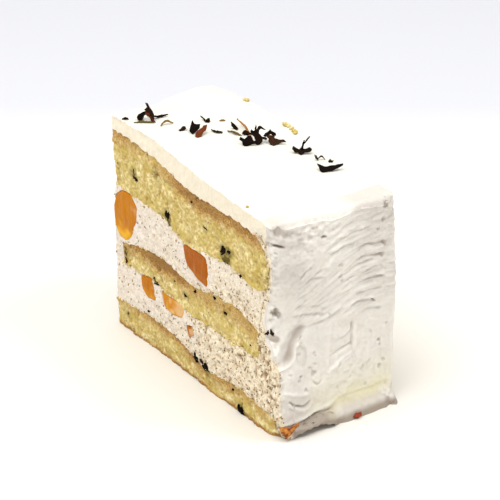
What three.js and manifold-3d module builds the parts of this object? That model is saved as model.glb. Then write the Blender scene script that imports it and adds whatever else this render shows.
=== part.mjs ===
// A slice of layered peach cake: three tea-flecked sponges, two layers of speckled cream filling
// with pieces of peach in them, and white cream over the top and down one end. Tea leaves lie on top.
// Millimetres, +Z up. X runs along the slice, towards the iced end; -Y is the front cut face.
// The origin is under the middle of the slice, on the surface that it stands on.

import * as THREE from "three";
import { mergeVertices } from "three/addons/utils/BufferGeometryUtils.js";
import Module from "manifold-3d";

const wasm = await Module();
wasm.setup();

// ---- Driving dimensions ----

const HEIGHT = 82; // at the cut end
const CUT_END_X = -51; // the plain cut end
const ICED_END_X = 48; // the iced end, near enough: its true face is worked out below
const HALF_WIDTH_CUT_END = 22.6;
const HALF_WIDTH_ICED_END = 24.8;
const GAP = 0.3; // between solids that touch

// How far the top has sunk, along X
const TOP_FALL = [[-24, 0], [-13, 1.3], [10, 2.7], [44, 4.9]];

// Height of each boundary between two layers, along X
const UNDER_TOP_CREAM = [[-52, 77.2], [-29, 76.1], [-13, 73.7], [1, 72.1], [30, 72.1], [39, 71.2]];
const UPPER_SPONGE_FLOOR = [
  [-51, 55.6], [-19, 54.3], [-7, 50.8], [10, 52.6], [23, 53.5], [32, 51.7], [45, 52.6],
];
const MIDDLE_SPONGE_TOP = [[-46, 34.2], [-35, 37], [-20, 38.4], [-1, 36.3], [14, 38.8], [28, 39.5], [39, 36.6]];
const MIDDLE_SPONGE_FLOOR = [[-46, 26.2], [-34, 26.9], [-20, 26.1], [-4, 24.7], [13, 24.8], [39, 25.8]];
const LOWER_SPONGE_TOP = [
  [-51, 10.5], [-30, 11.9], [-16, 11.7], [-2, 9.7], [5, 7.4], [26, 9.5], [40, 8.5], [49, 6.6],
];

// The middle sponge is shorter than the others, and filling wraps round its ends.
const MIDDLE_SPONGE_ENDS = [-46.3, 38.9];
const WRAP_SEAM_Z = 31.5;

// X of the iced end's face at its front and back edges, and of the layers' ends at the front cut, by height
const ICED_FRONT = [
  [0, 51.6], [9, 51.3], [17, 51.7], [24, 50.4], [32, 48.7],
  [39, 46.4], [46, 46.6], [55, 48.2], [65, 48.3], [78, 45.6],
];
const ICED_BACK = [[0, 50.4], [20, 50.2], [42, 50.8], [52, 50.4], [63, 49.4], [78, 48.2]];
const LAYERS_AT_CUT = [
  [0, 49.6], [6, 48], [20, 46], [30, 42.7], [39, 40.6],
  [47, 41.8], [59, 45], [66, 42.8], [69.5, 40], [72, 36],
];
const END_CREAM = 4.2; // thickness of the end's cream, away from the front cut
const THIN_FROM_Y = -24;
const THIN_TO_Y = -13; // nearer the front than this, the knife has dragged the cream thin

// The foot of cream that has spread along the board: where it starts to spread, by Y, and how far it goes
const FOOT_TOP = [[-22, 3.6], [-12, 5.5], [-2, 7.2], [9, 7.7], [15, 7.3], [21, 6], [25, 4]];
const FOOT_REACH = 3.3;
const LIP_LIFTED = { y: -11, half: [6.2, 8.4, 2] }; // a short stretch of it is clear of the board

// Palette knife strokes across the end
const STROKE_PITCH = 4.1;
const STROKE_DEPTH = 0.6;

// Pieces of peach that a cut goes through: their outline in the cut, along it and up, and their depth
const PEACHES = {
  peach_left_corner: {
    cut: "front",
    depth: 12,
    outline: [
      [-49, 35.8], [-44, 36.2], [-39.4, 39.6], [-36, 45.4], [-36, 50.6],
      [-41.6, 55], [-48.6, 53], [-52, 46], [-51.7, 40],
    ],
  },
  peach_upper_middle: {
    cut: "front",
    depth: 10,
    outline: [[-7, 50.2], [-4.4, 43.8], [1.8, 40.8], [9.4, 39.8], [9.4, 46], [8.4, 51.2]],
  },
  peach_lower_left: {
    cut: "front",
    depth: 8,
    outline: [[-35.2, 26.3], [-33.9, 21.2], [-30.6, 19], [-24.8, 19.9], [-26.5, 24.4], [-28.2, 27.6]],
  },
  peach_lower_middle: {
    cut: "front",
    depth: 8,
    outline: [[-22.1, 25.6], [-19.6, 20], [-13.6, 19.2], [-7.6, 20.8], [-6.2, 24.1], [-8.9, 25.4], [-15, 25.4]],
  },
  peach_sliver: {
    cut: "front",
    depth: 3,
    outline: [[-4.6, 19.6], [-3.4, 15.2], [0.6, 17.6], [-0.8, 20.6]],
  },
  peach_back_upper: {
    cut: "back",
    depth: 10,
    outline: [[15, 46.4], [18, 41], [26, 40.6], [30.6, 46], [26.4, 51.4], [18.4, 51]],
  },
  peach_back_middle: {
    cut: "back",
    depth: 9,
    outline: [[-23.6, 44], [-18, 40.6], [-12.6, 44.4], [-14, 51], [-21.6, 51.6]],
  },
  peach_back_lower: {
    cut: "back",
    depth: 9,
    outline: [[-1.6, 17.4], [4.6, 13], [11.6, 15.8], [11, 21.6], [2.6, 23.2]],
  },
  peach_cut_end: {
    cut: "end",
    depth: 9,
    outline: [[2.4, 17.2], [6.6, 13.6], [12.4, 16.2], [11.4, 21.8], [4.4, 22.6]],
  },
};

const PEACH_CORNER_CUT = 0.24; // the share of each side that rounding takes at its ends
const PEACH_TAPER = [[1, 0], [0.97, 0.3], [0.86, 0.65], [0.6, 0.9]]; // outline's share, by share of the depth
const POCKET_MOUTH = 3; // a pocket's cutter stands out of the cut by this much

// Dry tea leaves: from x, y to x, y; heights of the first end, the middle and the last end above the cream;
// width; sideways bow; roll in degrees
const TEA_LEAVES = [
  [-45.9, -22.2, -44.4, -20.4, 0, 0.1, 0, 1.2, 0, 0],
  [-42.4, -19.6, -38.6, -16.6, 0, 1.4, 0.6, 2.9, 0.4, 40],
  [-40.8, -16.8, -38.8, -13, 0.5, 2.5, 0, 2.2, -0.6, 50],
  [-42.2, -14.9, -37.4, -13.9, 5.6, 4.3, 0, 1.2, 0.2, 20],
  [-39.2, -14.6, -38.7, -7.8, 1.3, 0.2, 0.6, 0.9, 0.3, 15],
  [-40.8, -20.6, -36.2, -15.2, 0, 0.1, 0, 0.9, 0.1, 0],
  [-38.8, -16.2, -36.2, -14.6, 2.2, 1.3, 0, 0.9, 0, 40],
  [-32.7, -14.8, -32, -10, 0, 0.9, 0.3, 0.8, 0.9, 10],
  [-26, -12, -26, -8.8, 0, 0.4, 0.9, 1.6, -0.4, 20],
  [-26.2, -6.3, -21, -8.4, 1.7, 1.1, 0, 3.1, 0.2, 25],
  [-19.4, -8.4, -22.4, -3, 0, 0.4, 0.8, 1.9, 0, 10],
  [-31, 0.6, -27, 0.3, 0.9, 0.3, 0, 0.6, 0.3, 0],
  [-27.4, -0.4, -26.8, 2.2, 0, 0.6, 0.5, 1.6, 0, 25],
  [-25.4, 4.8, -24.2, 6.5, 0, 0.1, 0, 0.6, 0, 0],
  [-20.8, -1.8, -17.6, 0.8, 0.5, 0, 0.3, 0.9, -0.3, 0],
  [-20.6, 5.9, -16.7, 6.3, 1.6, 0.9, 0, 2, 0, 35],
  [-20.4, 8.8, -8.4, 6.8, 1.8, 1.3, 0.3, 0.9, 0.4, 0],
  [-17.8, 3, -12.6, 5.3, 0.2, 0.4, 0, 0.8, -0.2, 0],
  [-12.9, 5, -10.8, 7.4, 0, 1.4, 0.5, 1.2, 0, 30],
  [-10, 2.2, -5.4, 6.2, 0.4, 1, 0.2, 3.4, 0, 30],
  [-8.8, 8.6, -4.4, 5, 4.4, 1.7, 0, 1.8, 0, 45],
  [-7, 6, -3, 8.4, 0.5, 1.5, 0.2, 2.4, 0.3, 20],
  [-7.4, 8.2, -9, 13.1, 0.4, 3, 1.4, 1.4, -0.7, 40],
  [-7.6, 10.8, -5.2, 14.8, 0.3, 2.1, 0.4, 1.8, 0.6, 40],
  [-3, 8.8, -0.2, 15.3, 0.2, 0.7, 0, 3, 0.3, 12],
  [6.9, 14.2, 10, 19.1, 0.1, 0.7, 0.6, 1.7, 0, 20],
  [5.7, 14.4, 8.4, 13.7, 1.1, 0.8, 0, 0.8, -0.8, 30],
  [8.4, 15.4, 8, 16.9, 0.2, 2.4, 4.3, 0.8, 0, 0],
  [8.1, 16.2, 9, 18.6, 2.4, 3.6, 5.8, 0.7, 0.6, 0],
  [14, 16.8, 15.7, 17.2, 1.4, 0.6, 0, 0.8, 0, 20],
  [15.1, 17.4, 16.4, 19.6, 0.3, 1, 0, 0.6, 0.3, 0],
  [17.7, 19.6, 19.2, 21, 0, 0.4, 0.1, 1.5, 0, 0],
  [21.8, 12.4, 24, 21.6, 0.9, 0.3, 1.2, 2.4, 0.9, 20],
];
const LEAF_THICKNESS = 0.55;
const LEAF_SINK = 0.15; // a leaf with no height lies this deep in the cream

// ---- Shape functions ----

const clamp01 = (t) => Math.min(1, Math.max(0, t));
const lerp = (a, b, t) => a + (b - a) * t;
const smooth = (from, to, x) => {
  const t = clamp01((x - from) / (to - from));
  return t * t * (3 - 2 * t);
};
const bump = (x, middle, width) => Math.exp(-(((x - middle) / width) ** 2));

/** A smooth curve through points [at, value]. */
function through(points) {
  const last = points.length - 1;
  const slope = (k) => {
    const [a, b] = [points[Math.max(0, k - 1)], points[Math.min(last, k + 1)]];
    return (b[1] - a[1]) / (b[0] - a[0]);
  };
  return (at) => {
    const t = Math.min(points[last][0], Math.max(points[0][0], at));
    const k = Math.max(0, Math.min(last - 1, points.findIndex((p) => p[0] >= t) - 1));
    const [[a, p], [b, q]] = [points[k], points[k + 1]];
    const s = (t - a) / (b - a);
    const bend = s * (1 - s) * ((1 - s) * slope(k) - s * slope(k + 1));
    return lerp(p, q, s * s * (3 - 2 * s)) + bend * (b - a);
  };
}

/** How far a quarter-round edge of this radius has fallen, at a distance in from the edge. */
function roundOff(distance, radius) {
  const t = clamp01(1 - distance / radius);
  return radius * (1 - Math.sqrt(1 - t * t));
}

/** The height of a boundary between layers. It wanders a little on its way to the back. */
function layerHeight(points) {
  const atFront = through(points);
  return (x, y) => {
    const back = smooth(-24, 10, y);
    return atFront(x) + back * (0.8 * Math.sin(0.13 * x + points[1][1]) + 0.5 * Math.sin(0.31 * x + 0.1 * y));
  };
}

/** The two cut faces, with the knife's slight drag. The front one turns in at the foot of the iced end. */
function cutFaceY(side, x, z) {
  const along = clamp01((x - CUT_END_X) / (ICED_END_X - CUT_END_X));
  const half = lerp(HALF_WIDTH_CUT_END, HALF_WIDTH_ICED_END, along);
  const drag = 0.25 * Math.sin(0.21 * z + 1.3 * side) + 0.2 * Math.sin(0.11 * x + 0.4);
  const turnIn = side < 0 ? 3.8 * smooth(43, 54, x) * (1 - clamp01(z / 11)) : 0;
  return side * (half + drag - turnIn);
}

/** The plain cut end. The upper back part of it stands proud. */
function cutEndX(y, z) {
  const proud = 2.6 * smooth(-10, 5, y) * smooth(45, 78, z);
  return CUT_END_X - proud + 0.5 * Math.sin(0.12 * z + 0.6) + 0.3 * Math.sin(0.3 * y);
}

/** Grooves that a palette knife left: how far they stand out at (y, z). */
function knifeStrokes(y, z) {
  const rise = 0.16 * y - 0.006 * (y - 12) ** 2;
  const phase = ((z - rise) / STROKE_PITCH) * 2 * Math.PI;
  const ridge = Math.sin(phase) + 0.35 * Math.sin(2 * phase + 0.7);
  const shown = smooth(-14, -2, y) * smooth(23, 19, y) * smooth(33, 42, z) * smooth(75.5, 73, z);
  return STROKE_DEPTH * ridge * shown;
}

/** Broad hollows and humps of the cream on the end. */
function endForm(y, z) {
  const scoop = -1.8 * bump(y, -17, 4.5) * bump(z, 31, 8);
  const humps = 0.9 * bump(y, 3, 7) * bump(z, 32, 8) + 0.8 * bump(y, -6, 9) * bump(z, 60, 11);
  const low = 0.7 * bump(y, -16, 6) * bump(z, 13, 5) - 0.6 * bump(y, -10, 5) * bump(z, 20, 4);
  const dimple = -0.9 * bump(y, -20.5, 2.6) * bump(z, 74, 2.6);
  return scoop + humps + low + dimple;
}

const icedFront = through(ICED_FRONT);
const icedBack = through(ICED_BACK);
const layersAtCut = through(LAYERS_AT_CUT);
const footTop = through(FOOT_TOP);
const topFall = through(TOP_FALL);

/** The iced end's face without its strokes and hollows. */
const icedFace = (y, z) => lerp(icedFront(z), icedBack(z), smooth(-24, 20, y));

/** The iced end as it is, down to the foot that has spread at the floor. */
function icedEndX(y, z) {
  const foot = FOOT_REACH * (1 - clamp01(z / footTop(y))) ** 1.2 * smooth(-27, -12, y);
  const corner = roundOff(HALF_WIDTH_ICED_END - Math.abs(y), 2);
  return icedFace(y, z) + foot + endForm(y, z) + knifeStrokes(y, z) - corner;
}

/** The top surface of the cream, with its rounded edge over the iced end. */
function topZ(x, y) {
  const sway = 0.2 * Math.sin(0.09 * x + 0.5) * Math.cos(0.12 * y) + 0.15 * Math.sin(0.2 * y + 0.05 * x);
  return HEIGHT - topFall(x) + sway - roundOff(icedFace(y, HEIGHT) - x, 3.2);
}

/** Where the layers stop under the cream of the iced end. */
function layersEndX(y, z) {
  return lerp(layersAtCut(z), icedFace(y, z) - END_CREAM, smooth(THIN_FROM_Y, THIN_TO_Y, y));
}

// ---- Solids ----

/** Even steps from 0 to 1, with closer ones at the ends where they are given. */
function steps(count, closeAtStart = [], closeAtEnd = []) {
  const first = closeAtStart.at(-1) ?? 0;
  const last = 1 - (closeAtEnd.at(-1) ?? 0);
  const inner = Array.from({ length: count + 1 }, (_, i) => lerp(first, last, i / count));
  const before = closeAtStart.slice(0, -1);
  const after = closeAtEnd.slice(0, -1).map((t) => 1 - t).reverse();
  return [...(first ? [0] : []), ...before, ...inner, ...after, ...(last < 1 ? [1] : [])];
}

/** A closed box of grids, each point of which place(u, v, w) carries to where it lies. */
function warpedBox(us, vs, ws, place) {
  const positions = [];
  const triangles = [];
  const numbers = new Map();
  const point = (i, j, k) => {
    const key = `${i},${j},${k}`;
    if (!numbers.has(key)) {
      numbers.set(key, positions.length / 3);
      positions.push(...place(us[i], vs[j], ws[k]));
    }
    return numbers.get(key);
  };
  const face = (countA, countB, at, flip) => {
    for (let a = 0; a < countA; a++) {
      for (let b = 0; b < countB; b++) {
        const [p, q, r, s] = [at(a, b), at(a + 1, b), at(a + 1, b + 1), at(a, b + 1)].map((n) => point(...n));
        triangles.push(...(flip ? [p, r, q, p, s, r] : [p, q, r, p, r, s]));
      }
    }
  };
  const [I, J, K] = [us.length - 1, vs.length - 1, ws.length - 1];
  face(I, J, (a, b) => [a, b, K], false);
  face(I, J, (a, b) => [a, b, 0], true);
  face(J, K, (a, b) => [I, a, b], false);
  face(J, K, (a, b) => [0, a, b], true);
  face(I, K, (a, b) => [a, 0, b], false);
  face(I, K, (a, b) => [a, J, b], true);
  return indexed(positions, triangles);
}

function indexed(positions, triangles) {
  const geometry = new THREE.BufferGeometry();
  geometry.setAttribute("position", new THREE.Float32BufferAttribute(positions, 3));
  geometry.setIndex(triangles);
  return geometry;
}

function toSolid(geometry) {
  const merged = mergeVertices(geometry, 1e-5);
  return new wasm.Manifold(
    new wasm.Mesh({
      numProp: 3,
      vertProperties: new Float32Array(merged.attributes.position.array),
      triVerts: new Uint32Array(merged.index.array),
    }),
  );
}

function toGeometry(solid) {
  const { vertProperties, triVerts } = solid.getMesh();
  const geometry = indexed(vertProperties, Array.from(triVerts));
  geometry.computeVertexNormals();
  return geometry;
}

/** A block between two heights and two ends, cut by the same knife as the whole slice. */
function block({ us, vs, ws, x0, x1, z0, z1 }) {
  const shape = warpedBox(us, vs, ws, (u, v, w) => {
    let [x, y, z] = [0, lerp(-HALF_WIDTH_ICED_END, HALF_WIDTH_ICED_END, v), HEIGHT * w];
    for (let pass = 0; pass < 4; pass++) {
      x = lerp(x0(y, z), x1(y, z), u);
      y = lerp(cutFaceY(-1, x, z), cutFaceY(1, x, z), v);
      z = lerp(z0(x, y), z1(x, y), w);
    }
    return [x, y, z];
  });
  return toSolid(shape);
}

const FLOOR = () => 0;
const underTopCream = layerHeight(UNDER_TOP_CREAM);
const upperSpongeFloor = layerHeight(UPPER_SPONGE_FLOOR);
const middleSpongeTop = layerHeight(MIDDLE_SPONGE_TOP);
const middleSpongeFloor = layerHeight(MIDDLE_SPONGE_FLOOR);
const lowerSpongeTop = layerHeight(LOWER_SPONGE_TOP);
const offset = (height, by) => (a, b) => height(a, b) + by;

const ACROSS = steps(7);
const PAST = 0.1; // a share of the block, by which a cutting block runs out beyond the slice
const acrossAndPast = [-PAST, ...ACROSS, 1 + PAST];

/** All that lies under the cream. The cream is cut with a copy that is larger by the gap. */
function underTheCream(cutter) {
  const grown = cutter ? GAP : 0;
  const us = steps(9, [], [0.012, 0.035]);
  const ws = steps(11, [], [0.02, 0.045, 0.08]);
  return block({
    us: cutter ? [-PAST, ...us] : us,
    vs: cutter ? acrossAndPast : ACROSS,
    ws: cutter ? [-PAST, ...ws] : ws,
    x0: cutEndX,
    x1: offset(layersEndX, grown),
    z0: FLOOR,
    z1: offset(underTopCream, grown),
  });
}

/** Cream over the top, down the end and along the floor. */
function creamCoat() {
  const footRows = [0, 1, 2.5, 4.5, 7, 11, 15, 19, 23, 27, 31].map((z) => z / HEIGHT);
  const strokeRows = steps(35).map((t) => lerp(34 / HEIGHT, 1, t));
  const outside = block({
    us: steps(12, [], [0.007, 0.018, 0.035]),
    vs: steps(17, [0.008, 0.03], [0.008, 0.03]),
    ws: [...footRows, ...strokeRows],
    x0: cutEndX,
    x1: icedEndX,
    z0: FLOOR,
    z1: topZ,
  });
  return outside.subtract(underTheCream(true)).subtract(liftedLip());
}

function liftedLip() {
  const lip = new THREE.SphereGeometry(1, 12, 8);
  lip.scale(...LIP_LIFTED.half);
  lip.translate(ICED_END_X + 6, LIP_LIFTED.y, 0);
  lip.deleteAttribute("normal");
  lip.deleteAttribute("uv");
  return toSolid(lip);
}

/** A dry leaf: a thin strip, pointed at its ends, that bends, rolls and lies on the cream. */
function teaLeaf([x0, y0, x1, y1, rise0, rise1, rise2, width, bow, roll]) {
  const turn = Math.atan2(y1 - y0, x1 - x0);
  const angle = THREE.MathUtils.degToRad(roll);
  const rise = through([[0, rise0], [0.5, rise1], [1, rise2]]);
  const strip = warpedBox(steps(4), steps(1), steps(1), (u, v, w) => {
    const across = (v - 0.5) * width * (0.25 + 0.75 * Math.sin(Math.PI * lerp(0.08, 0.92, u)));
    const thick = (w - 0.5) * LEAF_THICKNESS;
    const side = across * Math.cos(angle) - thick * Math.sin(angle) + bow * Math.sin(Math.PI * u);
    const lift = across * Math.sin(angle) + thick * Math.cos(angle) + rise(u);
    const x = lerp(x0, x1, u) - side * Math.sin(turn);
    const y = lerp(y0, y1, u) + side * Math.cos(turn);
    return [x, y, topZ(x, y) + lift + LEAF_THICKNESS / 2 - LEAF_SINK];
  });
  return toSolid(strip);
}

/** Each corner of an outline, cut off to leave two. */
function softened(outline) {
  return outline.flatMap((corner, i) => {
    const before = outline.at(i - 1);
    const after = outline[(i + 1) % outline.length];
    return [before, after].map((other) => corner.map((c, axis) => lerp(c, other[axis], PEACH_CORNER_CUT)));
  });
}

/** A chunk of peach with its sliced side in a cut. grown makes the pocket that it lies in. */
function peach({ cut, depth, outline }, grown = 0) {
  const corners = softened(outline);
  const sides = corners.length;
  const middle = [0, 1].map((axis) => corners.reduce((sum, c) => sum + c[axis], 0) / sides);
  const place = {
    front: (a, b, into) => [a, cutFaceY(-1, a, b) + into, b],
    back: (a, b, into) => [a, cutFaceY(1, a, b) - into, b],
    end: (a, b, into) => [cutEndX(a, b) + into, a, b],
  }[cut];
  const mouth = grown ? -POCKET_MOUTH : 0;
  const positions = [];
  const triangles = [];
  for (const [share, atDepth] of PEACH_TAPER) {
    const into = atDepth ? atDepth * depth : mouth;
    for (const corner of corners) {
      const out = corner.map((c, axis) => c - middle[axis]);
      const stretch = share + grown / Math.hypot(...out);
      positions.push(...place(middle[0] + out[0] * stretch, middle[1] + out[1] * stretch, into));
    }
  }
  const [near, far] = [positions.length / 3, positions.length / 3 + 1];
  positions.push(...place(...middle, mouth));
  positions.push(...place(...middle, depth + grown));
  const deepest = (PEACH_TAPER.length - 1) * sides;
  for (let i = 0; i < sides; i++) {
    const next = (i + 1) % sides;
    for (let ring = 0; ring < deepest; ring += sides) {
      const inner = ring + sides;
      triangles.push(ring + i, inner + next, ring + next);
      triangles.push(ring + i, inner + i, inner + next);
    }
    triangles.push(near, i, next, far, deepest + next, deepest + i);
  }
  return toSolid(indexed(positions, cut === "front" ? triangles : triangles.toReversed()));
}

// ---- The slice ----

const LOOKS = {
  cream: { color: 0xfbf7ee, roughness: 0.45 },
  sponge: { color: 0xe0c884, roughness: 0.9 },
  filling: { color: 0xe9dcc4, roughness: 0.7 },
  peach: { color: 0xd68a2c, roughness: 0.25 },
};

const layers = underTheCream(false);

/** The part of the layers between two heights. */
function between(z0, z1) {
  const along = steps(11).map((t) => lerp(-PAST, 1 + PAST, t));
  return layers.intersect(
    block({ us: along, vs: acrossAndPast, ws: [0, 1], x0: cutEndX, x1: () => ICED_END_X, z0, z1 }),
  );
}

/** The middle sponge, which stops short of both ends, or the room that it needs. */
function middleSponge(grown) {
  return block({
    us: steps(12),
    vs: grown ? acrossAndPast : ACROSS,
    ws: steps(2),
    x0: () => MIDDLE_SPONGE_ENDS[0] - grown,
    x1: () => MIDDLE_SPONGE_ENDS[1] + grown,
    z0: offset(middleSpongeFloor, -grown),
    z1: offset(middleSpongeTop, grown),
  });
}

const roomForMiddle = middleSponge(GAP);
const sponges = {
  sponge_upper: between(upperSpongeFloor, () => 2 * HEIGHT),
  sponge_middle: middleSponge(0),
  sponge_lower: between(() => -HEIGHT, lowerSpongeTop),
};
const upperFilling = between(() => WRAP_SEAM_Z + GAP / 2, offset(upperSpongeFloor, -GAP));
const lowerFilling = between(offset(lowerSpongeTop, GAP), () => WRAP_SEAM_Z - GAP / 2);
const fillings = {
  filling_upper: upperFilling.subtract(roomForMiddle),
  filling_lower: lowerFilling.subtract(roomForMiddle),
};

const join = (solids) => solids.reduce((joined, solid) => joined.add(solid));
const pockets = join(Object.values(PEACHES).map((piece) => peach(piece, GAP)));
const leaves = join(TEA_LEAVES.map(teaLeaf));

const nodes = [["outer_cream", creamCoat().add(leaves), LOOKS.cream]];
for (const [name, solid] of Object.entries(sponges)) {
  nodes.push([name, solid.subtract(pockets), LOOKS.sponge]);
}
for (const [name, solid] of Object.entries(fillings)) {
  nodes.push([name, solid.subtract(pockets), LOOKS.filling]);
}
for (const [name, piece] of Object.entries(PEACHES)) {
  nodes.push([name, peach(piece), LOOKS.peach]);
}

const slice = new THREE.Group();
for (const [name, solid, look] of nodes) {
  const mesh = new THREE.Mesh(toGeometry(solid), new THREE.MeshStandardMaterial({ ...look, metalness: 0 }));
  mesh.name = name;
  slice.add(mesh);
}

export default slice;
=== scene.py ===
# %% [markdown]
# # A slice of layered peach cake
# A slice is mostly cut faces: crumb, whipped filling and fruit that a knife has dragged through. The packed
# model gives every main form, and each of its solids is replaced here by a finer mesh of the same form, because
# the crumb, the holes and the knife marks are far too small for it. All lengths are in millimetres until a mesh
# is made, which is in metres.

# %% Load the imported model
import math

import bpy
import numpy as np
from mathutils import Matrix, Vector


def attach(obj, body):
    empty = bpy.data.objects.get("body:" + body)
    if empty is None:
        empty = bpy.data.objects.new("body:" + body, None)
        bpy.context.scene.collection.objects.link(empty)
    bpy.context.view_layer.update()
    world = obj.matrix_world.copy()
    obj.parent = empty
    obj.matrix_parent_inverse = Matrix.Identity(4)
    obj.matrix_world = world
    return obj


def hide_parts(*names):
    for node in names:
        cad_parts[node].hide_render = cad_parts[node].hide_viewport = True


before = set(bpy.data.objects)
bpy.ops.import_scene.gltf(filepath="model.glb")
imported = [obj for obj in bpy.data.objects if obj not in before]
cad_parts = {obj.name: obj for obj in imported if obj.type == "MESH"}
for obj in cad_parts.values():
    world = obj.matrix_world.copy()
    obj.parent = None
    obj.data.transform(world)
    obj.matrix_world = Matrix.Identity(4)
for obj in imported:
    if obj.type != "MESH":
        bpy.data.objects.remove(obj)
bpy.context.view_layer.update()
MM = 0.001

# %% [markdown]
# ## The camera
# A long lens from some way off keeps the slice's edges nearly parallel. It stands to the right of the front cut,
# a little above the slice.

# %% Camera
def add_object(name, data):
    piece = bpy.data.objects.new(name, data)
    bpy.context.scene.collection.objects.link(piece)
    return piece


def stand(piece, place, facing):
    piece.location, piece.rotation_mode = place, "QUATERNION"
    piece.rotation_quaternion = facing.to_track_quat("-Z", "Y")


TURN, RISE, AWAY = math.radians(54.96), math.radians(26.44), 866.5
back = Vector((math.sin(TURN) * math.cos(RISE), -math.cos(TURN) * math.cos(RISE), math.sin(RISE)))
right = Vector((math.cos(TURN), math.sin(TURN), 0))
aim = Vector((-2.4, -0.4, 41)) + right * 1.68 + back.cross(right) * 1.54
camera = add_object("camera", bpy.data.cameras.new("camera"))
camera.data.lens, camera.data.sensor_width = 180, 36
camera.data.clip_start, camera.data.clip_end = 0.05, 20
stand(camera, (aim + back * AWAY) * MM, -back)
bpy.context.scene.camera = camera
print("camera at", [round(c, 3) for c in camera.location])

# %% [markdown]
# ## Curves, bumps and noise
# Every form below is a function of where a point lies, written for whole arrays of points at once. Small
# lattices of seeded dice give the unevenness of food: smooth noise for lumps, and round holes for bubbles.

# %% Curves and bumps
def rows(text):
    """Rows of numbers, with a bar between them."""
    return [np.array(row.split(), float) for row in text.split("|")]


def lerp(a, b, t):
    return a + (b - a) * t


def smooth(start, end, x):
    t = np.clip((x - start) / (end - start), 0, 1)
    return t * t * (3 - 2 * t)


def bump(x, middle, width):
    return np.exp(-(((x - middle) / width) ** 2))


def spots(a, b, text):
    """Soft spots, each as a height, a middle and a width along a, and a middle and a width along b."""
    return sum(high * bump(a, a0, wide) * bump(b, b0, tall) for high, a0, wide, b0, tall in rows(text))


def through(points):
    """A smooth curve through points (at, value)."""
    at, value = np.array(points, float).T
    slope = np.gradient(value, at)
    slope[1:-1] = (value[2:] - value[:-2]) / (at[2:] - at[:-2])

    def curve(x):
        t = np.clip(x, at[0], at[-1])
        k = np.clip(np.searchsorted(at, t) - 1, 0, len(at) - 2)
        step = at[k + 1] - at[k]
        s = (t - at[k]) / step
        bend = s * (1 - s) * ((1 - s) * slope[k] - s * slope[k + 1])
        return lerp(value[k], value[k + 1], s * s * (3 - 2 * s)) + bend * step

    return curve


def round_off(distance, radius):
    """How far a quarter-round edge has fallen, at a distance in from the edge."""
    t = np.clip(1 - distance / radius, 0, 1)
    return radius * (1 - np.sqrt(1 - t * t))


# %% Seeded noise and holes
PRIMES = (73856093, 19349663, 83492791)


def dice(cell, seed):
    """A number from 0 to 1 for each cell of a lattice, the same on every run."""
    h = seed * 49979687 + 12345
    for axis in range(cell.shape[1]):
        h = h ^ (cell[:, axis] * PRIMES[axis])
    h = ((h ^ (h >> 13)) & 0xFFFFFFFF) * 1274126177 & 0xFFFFFFFF
    return ((h ^ (h >> 15)) & 0xFFFF) / 0xFFFF


def in_cells(where, size):
    q = np.stack([np.asarray(c, float).ravel() for c in where], axis=1)
    return q, np.floor(q / size).astype(np.int64)


def noise(where, size, seed=0):
    """Smooth noise from -1 to 1, with lumps of this size. where is a list of coordinate arrays."""
    q, cell = in_cells(where, size)
    f = q / size - cell
    f = f * f * f * (f * (f * 6 - 15) + 10)
    total = np.zeros(len(q))
    for corner in np.ndindex(*(2,) * q.shape[1]):
        total += np.prod(np.where(corner, f, 1 - f), axis=1) * dice(cell + corner, seed)
    return (2 * total - 1).reshape(np.shape(where[0]))


def clouds(where, seed, *layers):
    """Noise on noise: each layer is (strength, size)."""
    return sum(strength * noise(where, size, seed + n) for n, (strength, size) in enumerate(layers))


def shaken(where, by, size, seed):
    """Two rows of coordinates, each pushed about by noise of its own."""
    return np.stack([c + by * noise(where, size, seed + n) for n, c in enumerate(where)])


def holes(where, size, share, small, large, seed=0):
    """Depth of round holes: a share of the cells of this size hold one, of a radius from small to large."""
    q, cell = in_cells(where, size)
    depth = np.zeros(len(q))
    for near in np.ndindex(*(3,) * q.shape[1]):
        c = cell + near - 1
        radius = lerp(small, large, dice(c, seed + 1) ** 2)
        middle = (c + np.stack([dice(c, seed + 2 + axis) for axis in range(c.shape[1])], axis=1)) * size
        inside = radius**2 - ((q - middle) ** 2).sum(axis=1)
        depth = np.maximum(depth, np.where(dice(c, seed) < share, np.sqrt(np.clip(inside, 0, None)), 0))
    return depth.reshape(np.shape(where[0]))


# %% [markdown]
# ## The slice's own forms
# The slice is a block between two cut faces. Three of its sides were cut, one is covered with cream. The
# boundaries between its layers wander, since sponge isn't level and filling is spread by hand, so each boundary is
# a curve along the slice with some unevenness towards the back.

# %% Named sizes
HEIGHT, CUT_END_X, ICED_END_X = 82, -51, 48
HALF_WIDTH_CUT_END, HALF_WIDTH_ICED_END = 22.6, 24.8
MIDDLE_SPONGE_ENDS = (-46.3, 38.9)
WRAP_SEAM_Z = 31.5
END_CREAM, THIN_FROM_Y, THIN_TO_Y = 4.2, -24, -13
FOOT_REACH = 3.3
SEAM = 0.03  # layers touch, but no two meshes share a face
# along the slice, as x and how far the top has fallen
top_fall = through(rows("-24 0 | -13 1.3 | 10 2.7 | 44 4.9"))
# up the slice, as z and the value there
iced_front = through(rows("""
    0 51.6 | 9 51.3 | 17 51.7 | 24 50.4 | 32 48.7 | 39 46.4 | 46 46.6 | 55 48.2 | 65 48.3 | 78 45.6
"""))
iced_back = through(rows("0 50.4 | 20 50.2 | 42 50.8 | 52 50.4 | 63 49.4 | 78 48.2"))
layers_at_cut = through(rows("""
    0 49.6 | 6 48 | 20 46 | 30 42.7 | 39 40.6 | 47 41.8 | 59 45 | 66 42.8 | 69.5 40 | 72 36
"""))
corner_radius = through(rows("0 .8 | 28 .8 | 35 2.2 | 45 3 | 62 2.8 | 74 2.2 | 82 2"))
torn_edge = through(rows("""
    0 60 | 20 56 | 28 49.9 | 33.5 44.8 | 40 43 | 46 43.7 | 52.5 45.8 | 58.5 46.4 | 65 46.3 | 70.5 44 | 76.5 45
"""))
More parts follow.
